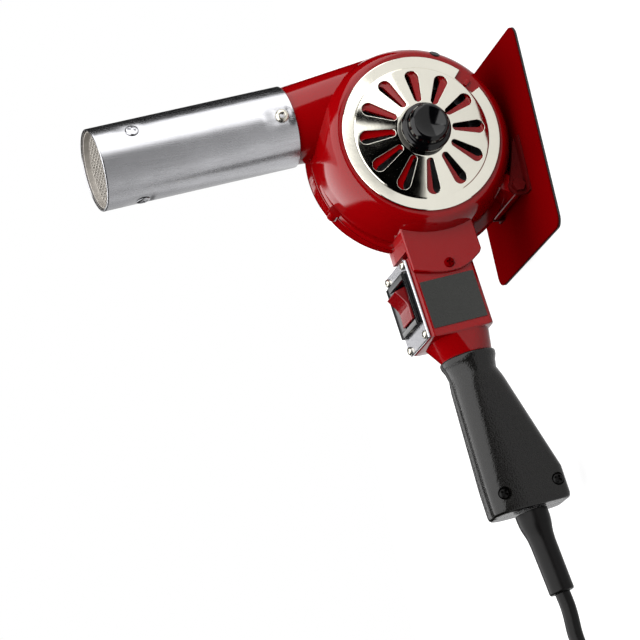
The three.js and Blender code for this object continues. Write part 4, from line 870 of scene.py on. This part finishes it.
# Barrel
def dimple(angle, z):
    """How far the tube is pressed in, flat round each screw and drawn out towards the tip."""
    depth = 0.0
    rear = (REAR_SCREWS, REAR_SCREW_Z, REAR_DIMPLE)
    front = (FRONT_SCREWS, FRONT_SCREW_Z, FRONT_DIMPLE)
    for screws, at, deep in (rear, front):
        run = smoothstep(z, at - 8, at - 3) * (1 - smoothstep(z, at + 3, at + 13))
        for screw in screws:
            off = abs((angle - screw + 180) % 360 - 180)
            depth = max(depth, deep * run * (1 - smoothstep(off, 5, 21)))
    return depth


def barrel(count=180):
    """A tube by radius and z, with finer steps round its screws."""
    rows = [(BARREL_R - 0.3, BARREL_START), (BARREL_R, BARREL_START + 0.3)]
    z = BARREL_START + 1
    while z < TIP - 1:
        rows.append((BARREL_R, z))
        near_screw = any(at - 9 < z < at + 16 for at in (REAR_SCREW_Z, FRONT_SCREW_Z))
        z += 0.8 if near_screw else 3.2
    rows += [
        (BARREL_R, TIP - 0.5), (BARREL_R - 0.15, TIP - 0.15), (BARREL_R - 0.5, TIP),
        (BARREL_IN + 0.2, TIP), (BARREL_IN, TIP - 0.3), (BARREL_IN, BARREL_START + 30),
        (BARREL_IN, BARREL_START),
    ]
    rings = []
    for r, z in rows:
        ring = []
        for i in range(count):
            angle = 360 * i / count
            inward = dimple(angle, z) if r > BARREL_R - 0.2 else 0.0
            a = math.radians(angle)
            ring.append((NOZZLE_RISE - (r - inward) * math.sin(a), -(r - inward) * math.cos(a), z))
        rings.append(ring)
    piece("barrel_tube", loft(rings, closed=True), barrel_steel, ["barrel"])


def screen():
    """Woven wire across the outlet, in a ring with a skirt."""
    screen_z, lip = TIP - SCREEN_DEEP, TIP - SCREEN_LIP
    outer = BARREL_IN - FIT
    inner = outer - 1
    skirt = [
        (outer, screen_z - SKIRT_L), (inner, screen_z - SKIRT_L), (inner, screen_z - 0.6),
        (inner - 0.6, screen_z - 0.2), (inner - 0.6, screen_z + 0.3), (inner, screen_z + 0.5),
        (inner, lip - 0.3), (inner + 0.3, lip), (outer - 0.3, lip), (outer, lip - 0.3),
    ]
    parts = [moved(turned(skirt, 96, closed=True), spin(90, "X"))]
    corners = 4
    lines = int(inner / WIRE_PITCH)
    for along in (0, 1):
        for k in range(-lines, lines + 1):
            offset = k * WIRE_PITCH
            half = math.sqrt(inner**2 - offset**2)
            steps = max(4, int(2 * half / (WIRE_PITCH / 3)))
            over = WIRE_WAVE if (k + along) % 2 == 0 else -WIRE_WAVE
            rings = []
            for i in range(steps + 1):
                s = -half + 2 * half * i / steps
                z = screen_z + over * math.cos(math.pi * s / WIRE_PITCH)
                ring = []
                for c in range(corners):
                    a = 2 * math.pi * c / corners
                    side, up = offset + WIRE_R * math.cos(a), z + WIRE_R * math.sin(a)
                    ring.append((s, side, up) if along == 0 else (side, s, up))
                rings.append(ring)
            parts.append(loft(rings))
    whole = moved(together(parts), shift(NOZZLE_RISE, 0, 0) @ spin(-35, "Z"))
    piece("outlet_mesh", whole, mesh_wire, ["outlet_screen"], sharp=100)


# Fasteners
def socket_head(radius, height):
    """A rounded head with a deep round socket, on a short shank."""
    hole, shank = 0.44 * radius, 0.62 * radius
    return turned([
        (0, 2.6), (hole, 2.6), (hole, -0.85 * height), (1.12 * hole, -height),
        (0.72 * radius, -0.96 * height), (0.9 * radius, -0.7 * height), (radius, -0.3 * height),
        (radius, 0.6), (shank, 0.6), (shank, 3.2), (0, 3.2),
    ], 40)


def screw_head(radius, height, shank=1.5):
    """A rounded head with a cross recess, on a short shank."""
    head = turned([
        (0, -height), (0.5 * radius, -0.97 * height), (0.78 * radius, -0.82 * height),
        (0.94 * radius, -0.55 * height), (radius, -0.2 * height), (radius, 0), (0.5 * radius, 0),
        (0.5 * radius, shank), (0, shank),
    ], 40)
    long, wide, deep = 0.64 * radius, 0.2 * radius, 0.85 * height
    cross = [box(-a, a, -height - 1, -height + deep, -b, b) for a, b in ((long, wide), (wide, long))]
    return boolean(head, cross)


def put_screw(name, size, place, mat=zinc, head=screw_head):
    piece("head_" + name, head(*size), mat, [name], matrix=GUN @ place, sharp=40)


def on_barrel(z, angle, pressed):
    out = shift(0, pressed - BARREL_R - SEAT, 0)
    return shift(NOZZLE_RISE, 0, z) @ spin(-angle, "Z") @ out


def on_far_side(angle, radius, y):
    return spin(angle, "Y") @ shift(radius, y + SEAT, 0) @ spin(180, "X")


def screws():
    for k, angle in enumerate(REAR_SCREWS):
        place = on_barrel(REAR_SCREW_Z, angle, REAR_DIMPLE)
        put_screw(f"barrel_screw_{k + 1}", REAR_HEAD, place, head=socket_head)
    for k, angle in enumerate(FRONT_SCREWS):
        place = on_barrel(FRONT_SCREW_Z, angle, FRONT_DIMPLE) @ spin(30 + 25 * k, "Y")
        put_screw(f"screen_screw_{k + 1}", FRONT_HEAD, place, barrel_steel)
    for k, (a, b) in enumerate(((1, -1), (1, 1), (-1, -1), (-1, 1))):
        place = shift(PLATE_X + a * PLATE_SCREW_X, b * PLATE_SCREW_Y, PLATE_Z + PLATE_T + SEAT)
        put_screw(f"plate_screw_{k + 1}", PLATE_HEAD, place @ spin(-90, "X") @ spin(25 * k, "Y"))
    for k, angle in enumerate(LUG_ANGLES):
        put_screw(f"shell_screw_{k + 1}", BODY_HEAD, on_far_side(angle, LUG_AT, FAR_RIM))
    for k, angle in enumerate((90, 270)):
        put_screw(f"cover_screw_{k + 1}", BODY_HEAD, on_far_side(angle, COVER_SCREW_R, COVER_Y))
    # The collar screw takes the darker red steel, whose darkening is painted shade
    place = shift(*COLLAR_SCREW_AT) @ spin(20, "Y")
    put_screw("collar_screw", BODY_HEAD, place, red_steel)
    for k, (z, sunk) in enumerate(GRIP_SCREWS):
        place = shift(GRIP_SCREW_X, sunk + GRIP_SEAT_Y - SEAT, z) @ spin(35, "Y")
        put_screw(f"grip_screw_{k + 1}", GRIP_HEAD, place, rubber)


# Switch housing, switch and label
def housing():
    """A box with rounded lower edges over a neck that narrows to a round tenon in the grip."""
    def section(x, front, back, half_w, corner):
        return across_x(x, (front + back) / 2, (front - back) / 2, half_w, corner)

    size = (HOUSING_FRONT, HOUSING_BACK, HOUSING_HALF, HOUSING_CORNER)
    rings = [
        section(HOUSING_TOP, 14.3, *size[1:]), section(HOUSING_TOP - 4, *size), section(-119.8, *size),
        section(-120.4, 29.1, -11.98, 21.9, 3.2), section(-120.8, 28.6, -11.94, 21.7, 4.2),
        section(-121.1, 26.6, -11.88, 21.3, 9),
    ]
    steps = 10
    for k in range(steps + 1):
        t = k / steps
        front, back = 24.8 - 4.8 * t, -11.8 - 0.2 * t
        rings.append(section(-121.4 - 11.8 * t, front, back, 21 - 5 * t, 14 + 2 * t))
    rings += [across_x(x, HANDLE_Z, TENON_R, TENON_R, TENON_R) for x in (-133.3, TENON_END)]
    shell = boolean(loft(rings), [box(-107.3, -78.7, -15.8, 15.8, 6, 31)])
    piece("switch_case", shell, paint, ["switch_housing"], sharp=28)


def label():
    back = -HOUSING_HALF - SEAT
    film = soften(box(*LABEL_X, back - LABEL_T, back, *LABEL_Z), 0.12, 2)
    piece("label_bare", film, label_film, ["label_plate"])


def plate():
    """The bright plate and its opening, by half x, half y, corner and height."""
    edge = [
        (25.1, 21.4, 1.6, 0), (25.5, 21.8, 2, 0.35), (25.5, 21.8, 2, 1.15), (25.1, 21.4, 1.7, PLATE_T),
    ]
    hole = [(14.8, 16.2, 0.6, PLATE_T), (14.4, 15.9, 0.5, 1.2), (14.4, 15.9, 0.5, 0)]
    rings = []
    for x, line in ((PLATE_X, edge), (SWITCH_X, hole)):
        rings += [across_z(x, PLATE_Z + z, *size, 6) for *size, z in line]
    piece("plate", loft(rings, closed=True), plate_steel, ["switch_plate"])


def bezel():
    """The switch's body and frame, by half x, half y, corner and height, with a rail on each side."""
    frame_line = [
        (14, 15.5, 0.8, -20), (14, 15.5, 0.8, 0), (16.9, 19.4, 2, 0), (17, 19.5, 2, 0.2),
        (16.8, 19.22, 1.9, 1.75), (16.6, 19.0, 1.8, 2.1), (16.1, 18.6, 1.6, 2.2),
        (13.0, 15.4, 0.8, 2.2), (12.6, 15.0, 0.6, 1.9), (12.4, 10.8, 0.5, 0.9), (12.3, 10.5, 0.5, 0.5),
        (12.3, 10.5, 0.5, -9.5),
    ]
    parts = [loft([across_z(SWITCH_X, BEZEL_Z + z, *size, 6) for *size, z in frame_line])]
    rail = [(19.22, 1.7), (19.05, 2.65), (15.3, 2.25), (15.3, 1.7)]
    for side in (-1, 1):
        ends = []
        for x in (SWITCH_X - RAIL_HALF, SWITCH_X + RAIL_HALF):
            ends.append([(x, side * y, BEZEL_Z + z) for y, z in rail])
        parts.append(soften(loft(ends), 0.12, 2))
    piece("bezel", together(parts), bezel_black, ["switch_body"])


def rocker():
    """A bar with two slopes that meet in a soft bend over its pivot."""
    slope = math.tan(math.radians(ROCKER_SLOPE))
    steps = 24
    outline = []
    for i in range(steps + 1):
        x = ROCKER_HALF - 2 * ROCKER_HALF * i / steps
        outline.append((x, ROCKER_RISE - ROCKER_BEND + math.hypot(x * slope, ROCKER_BEND)))
    outline += [(-ROCKER_HALF, 0), (-6, -5), (6, -5), (ROCKER_HALF, 0)]
    bar = soften(prism(outline, -ROCKER_HALF, ROCKER_HALF), 0.7, 4, 40)
    place = GUN @ shift(SWITCH_X, 0, ROCKER_Z) @ spin(-ROCKER_REST, "Y")
    piece("rocker_cap", bar, red_plastic, ["rocker"], "rocker", place)


# Grip and strain relief
def grip_section(x):
    """The section's z, half z, half y and corner at a place along the grip."""
    keys = (
        (GRIP_TOP, HANDLE_Z, 16.6, 16.6, 16.6), (GRIP_TOP - 0.4, HANDLE_Z, 17.3, 17.3, 17.3),
        (GRIP_TOP - 1.2, HANDLE_Z, 17.5, 17.5, 17.5), (GRIP_TOP - 3, HANDLE_Z, 17.3, 17.3, 17.3),
        (GRIP_TOP - 6, HANDLE_Z, 16, 16, 16), (GRIP_TOP - 11, HANDLE_Z, 15.1, 15.1, 15),
        (GRIP_TOP - 18, 3.3, 15.9, 15, 11.5), (GRIP_END + 20, GRIP_END_Z, 24.8, 15, 7.2),
        (GRIP_END + 3, GRIP_END_Z, 24.8, 15, 7.2), (GRIP_END + 1.2, GRIP_END_Z, 24.3, 14.6, 6.9),
        (GRIP_END + 0.3, GRIP_END_Z, 23.3, 13.8, 6.3), (GRIP_END, GRIP_END_Z, 22.2, 12.8, 5.5),
    )
    for a, b in zip(keys, keys[1:]):
        if a[0] >= x >= b[0]:
            t = (a[0] - x) / (a[0] - b[0])
            return [p + (q - p) * t for p, q in zip(a[1:], b[1:])]
    return list(keys[-1][1:])


def evenly(points, count):
    """The same line with points at even steps."""
    runs = [math.dist(p, q) for p, q in zip(points, points[1:])]
    step = sum(runs) / (count - 1)
    made = [points[0]]
    gone, k = 0.0, 0
    for i in range(1, count - 1):
        while gone + runs[k] < i * step:
            gone += runs[k]
            k += 1
        t = (i * step - gone) / runs[k]
        made.append(tuple(p + (q - p) * t for p, q in zip(points[k], points[k + 1])))
    return [*made, points[-1]]


def crowned(a, b, half_z, half_y, corner):
    """The grip's side falls away towards its front where the section is flat."""
    flat = min(1.0, (half_z - corner) / (CROWN_FLAT * half_z))
    fall = max(0.0, a - CROWN_FROM * half_z) ** 2 / (2 * CROWN_R * half_z)
    return b - b / half_y * fall * flat


def grip_ring(x, side):
    """Half of the grip's section, crowned at its side and rounded off where the halves meet."""
    z, half_z, half_y, corner = grip_section(x)
    half = [(a, b) for a, b in round_rect(half_z, half_y, corner, 12) if b < 0]
    line = evenly(half, GRIP_POINTS)
    curve = [(a, min(crowned(a, b, half_z, half_y, corner), -SEAM)) for a, b in line]
    lip = [(half_z - SEAM / 2, -SEAT), (half_z - SEAM / 8, -SEAM / 2)]
    outline = [*lip, *curve, *[(-a, b) for a, b in reversed(lip)]]
    return [(x, side * b, z + a) for a, b in outline]


def grip():
    """Both halves, skinned over sections at steps down from the grip's top."""
    stations = [0, 0.2, 0.4, 0.8, 1.2, 2, 3, 4, 5, 6, 7.5, 9, 11, 13, 15, 18]
    stations += [18 + 62.5 * k / 20 for k in range(1, 21)] + [84, 88, 92, 95, 97.5]
    stations += [98.2, 98.8, 99.3, 99.8, 100.2, 100.5]
    for name, node, side in (("handle_near", "grip_near", 1), ("handle_far", "grip_far", -1)):
        half = loft([grip_ring(GRIP_TOP - s, side) for s in stations])
        bore = rod(GRIP_BORE, TENON_END - 1, -132, 48)
        cuts = [moved(bore, shift(0, 0, HANDLE_Z) @ spin(-90, "Z"))]
        if side == 1:
            for z, sunk in GRIP_SCREWS:
                seat = rod(GRIP_SEAT_R, -17, sunk + GRIP_SEAT_Y, 40)
                cuts.append(moved(seat, shift(GRIP_SCREW_X, 0, z)))
        piece(name, boolean(half, cuts), grip_black, [node], sharp=50)


def relief():
    """The sleeve on the lead, by radius and distance from the grip."""
    profile = [
        (0, 0), (9.9, 0), (10.2, 0.3), (10.2, 3), (10.1, 6), (9.8, 8.5), (9.3, 11), (8.7, 13.5),
        (8.3, 16), (8.0, 20), (7.9, 30), (7.8, 44), (7.8, 50.6), (7.6, 51.3), (7.2, 51.8),
        (6.4, RELIEF_L), (5.0, RELIEF_L), (4.9, RELIEF_L - 2), (0, RELIEF_L - 2),
    ]
    tilt = Matrix.Rotation(-RELIEF_TILT, 4, "Y")
    place = GUN @ Matrix.Translation(RELIEF_AT) @ tilt @ spin(90, "Z")
    sleeve = turned(profile, 64)
    piece("cord_sleeve", sleeve, rubber, ["strain_relief"], matrix=place, sharp=40)


# Far side and stand
def cover():
    """A cup over the motor with a ring of round-ended vents."""
    y0, y1, r = FAR_Y + SEAT, COVER_Y, COVER_R
    cup = turned([
        (6, y1 - 0.4), (6.4, y1), (r - 4.5, y1), (r - 2.8, y1 - 0.35), (r - 1.4, y1 - 1.2),
        (r - 0.4, y1 - 2.6), (r, y1 - 4.4), (r, y0 + 3.4), (r, y0 + 0.3), (r - 0.3, y0), (r - 2.2, y0),
        (r - 2.2, y1 - 4), (r - 4, y1 - 2.2), (6, y1 - 2.2),
    ], 120, closed=True)
    steps = 10
    outline = []
    for end, start in ((VENT_AT + VENT_HALF, -90), (VENT_AT - VENT_HALF, 90)):
        for i in range(steps + 1):
            a = math.radians(start + 180 / steps * i)
            outline.append((end + VENT_R * math.cos(a), VENT_R * math.sin(a)))
    turns = [spin((k + 0.5) * 360 / VENTS, "Y") for k in range(VENTS)]
    vents = [moved(prism(outline, y1 - 4, y1 + 1), turn) for turn in turns]
    piece("fan_cover", boolean(cup, vents), paint, ["motor_cover"])


def stand():
    """The pad and the plate, with softened edges."""
    for name, node, z0, z1, mat, slot in (
        ("rest_pad", "stand_pad", 0.0, 1.2, pad_rubber, "rubber"),
        ("rest_plate", "stand_plate", 1.35, 2.55, red_steel, "red_steel"),
    ):
        rings = []
        for inset, z in ((0.3, z0), (0, z0 + 0.3), (0, z1 - 0.3), (0.1, z1 - 0.1), (0.3, z1)):
            size = (STAND_HALF_X - inset, STAND_HALF_Y - inset, STAND_CORNER - inset)
            rings.append(across_z(0, z, *size, 12))
        piece(name, loft(rings), mat, [node], "stand", BENCH)


def dress_nodes():
    """Finishes for the solids that stay, with softened edges where they show."""
    for entry in frame["record"]["subparts"]:
        obj = frame["nodes"][entry["node"]]
        obj.data.materials.clear()
        obj.data.materials.append(SLOT_FINISH[entry["material_slot"]])
    # The hinge parts take the much darker red, which is painted shade
    for name in HINGE_PARTS:
        frame["nodes"][name].data.materials[0] = shaded_bracket_red
    for name in (*HINGE_PARTS, *PLUG_PINS):
        edge = frame["nodes"][name].modifiers.new("edge", "BEVEL")
        edge.width = 0.0003
        edge.segments = 2
        edge.limit_method = "ANGLE"
        edge.angle_limit = math.radians(40)


# Studio
def calc(tree, operation, a, b):
    """One step of arithmetic on sockets or plain numbers."""
    item = tree.nodes.new("ShaderNodeMath")
    item.operation = operation
    for socket, value in zip(item.inputs, (a, b)):
        if isinstance(value, float):
            socket.default_value = value
        else:
            tree.links.new(value, socket)
    return item.outputs[0]


def floor():
    """A pale bench that glows to white where it is seen, and less in what mirrors it."""
    bm = bmesh.new()
    bm.faces.new([bm.verts.new((x, y, 0)) for x, y in FLOOR_CORNERS])
    mesh = bpy.data.meshes.new("floor")
    bm.to_mesh(mesh)
    bm.free()
    mat = bpy.data.materials.new("floor")
    mat.use_nodes = True
    tree = mat.node_tree
    tree.nodes.clear()
    path = tree.nodes.new("ShaderNodeLightPath")
    seen = calc(tree, "MAXIMUM", path.outputs["Is Camera Ray"], path.outputs["Is Transmission Ray"])
    shown = calc(tree, "MULTIPLY", seen, FLOOR_GLOW)
    mirrored = calc(tree, "MULTIPLY", path.outputs["Is Glossy Ray"], FLOOR_SHINE)
    glow = tree.nodes.new("ShaderNodeEmission")
    tree.links.new(calc(tree, "ADD", shown, mirrored), glow.inputs["Strength"])
    matte = tree.nodes.new("ShaderNodeBsdfDiffuse")
    matte.inputs["Color"].default_value = FLOOR_COLOR
    total = tree.nodes.new("ShaderNodeAddShader")
    tree.links.new(matte.outputs[0], total.inputs[0])
    tree.links.new(glow.outputs[0], total.inputs[1])
    out = tree.nodes.new("ShaderNodeOutputMaterial")
    tree.links.new(total.outputs[0], out.inputs["Surface"])
    mesh.materials.append(mat)
    obj = bpy.data.objects.new("floor", mesh)
    scene.collection.objects.link(obj)


def world():
    """White where it is seen, and for the object panels of light with dark between."""
    made = bpy.data.worlds.new("studio")
    scene.world = made
    made.use_nodes = True
    tree = made.node_tree
    tree.nodes.clear()
    join = tree.links.new

    def node(kind, **values):
        item = tree.nodes.new(kind)
        for key, value in values.items():
            setattr(item, key, value)
        return item

    place = node("ShaderNodeTexCoord")

    def side(normal, edge, soft):
        dot = node("ShaderNodeVectorMath", operation="DOT_PRODUCT")
        dot.inputs[1].default_value = normal
        join(place.outputs["Generated"], dot.inputs[0])
        ramp = node("ShaderNodeMapRange", interpolation_type="SMOOTHSTEP")
        ramp.inputs["From Min"].default_value = edge - soft
        ramp.inputs["From Max"].default_value = edge + soft
        join(dot.outputs["Value"], ramp.inputs["Value"])
        return ramp.outputs["Result"]

    def panel(level, sides):
        lit = level
        for edge in sides:
            lit = calc(tree, "MULTIPLY", side(*edge), lit)
        return lit

    path = node("ShaderNodeLightPath")
    plain = calc(tree, "SUBTRACT", 1.0, path.outputs["Is Glossy Ray"])
    light = calc(tree, "MULTIPLY", plain, SPREAD)
    for level, sides in (OVERHEAD, BESIDE, BEHIND, BELOW):
        light = calc(tree, "ADD", light, panel(level, sides))
    seen = calc(tree, "MAXIMUM", path.outputs["Is Camera Ray"], path.outputs["Is Transmission Ray"])
    studio = node("ShaderNodeBackground")
    studio.inputs["Color"].default_value = (1, 1, 1, 1)
    join(light, studio.inputs["Strength"])
    white = node("ShaderNodeBackground")
    white.inputs["Color"].default_value = (1, 1, 1, 1)
    white.inputs["Strength"].default_value = 1.0
    mix = node("ShaderNodeMixShader")
    join(seen, mix.inputs["Fac"])
    join(studio.outputs[0], mix.inputs[1])
    join(white.outputs[0], mix.inputs[2])
    out = node("ShaderNodeOutputWorld")
    join(mix.outputs[0], out.inputs["Surface"])


camera()
cord, cord_exit, cord_length = mains_lead()
tie = cord_strap()
plug = mains_plug()
castings()
shutter()
knob()
barrel()
screen()
screws()
housing()
label()
plate()
bezel()
rocker()
grip()
relief()
cover()
stand()
dress_nodes()
floor()
world()
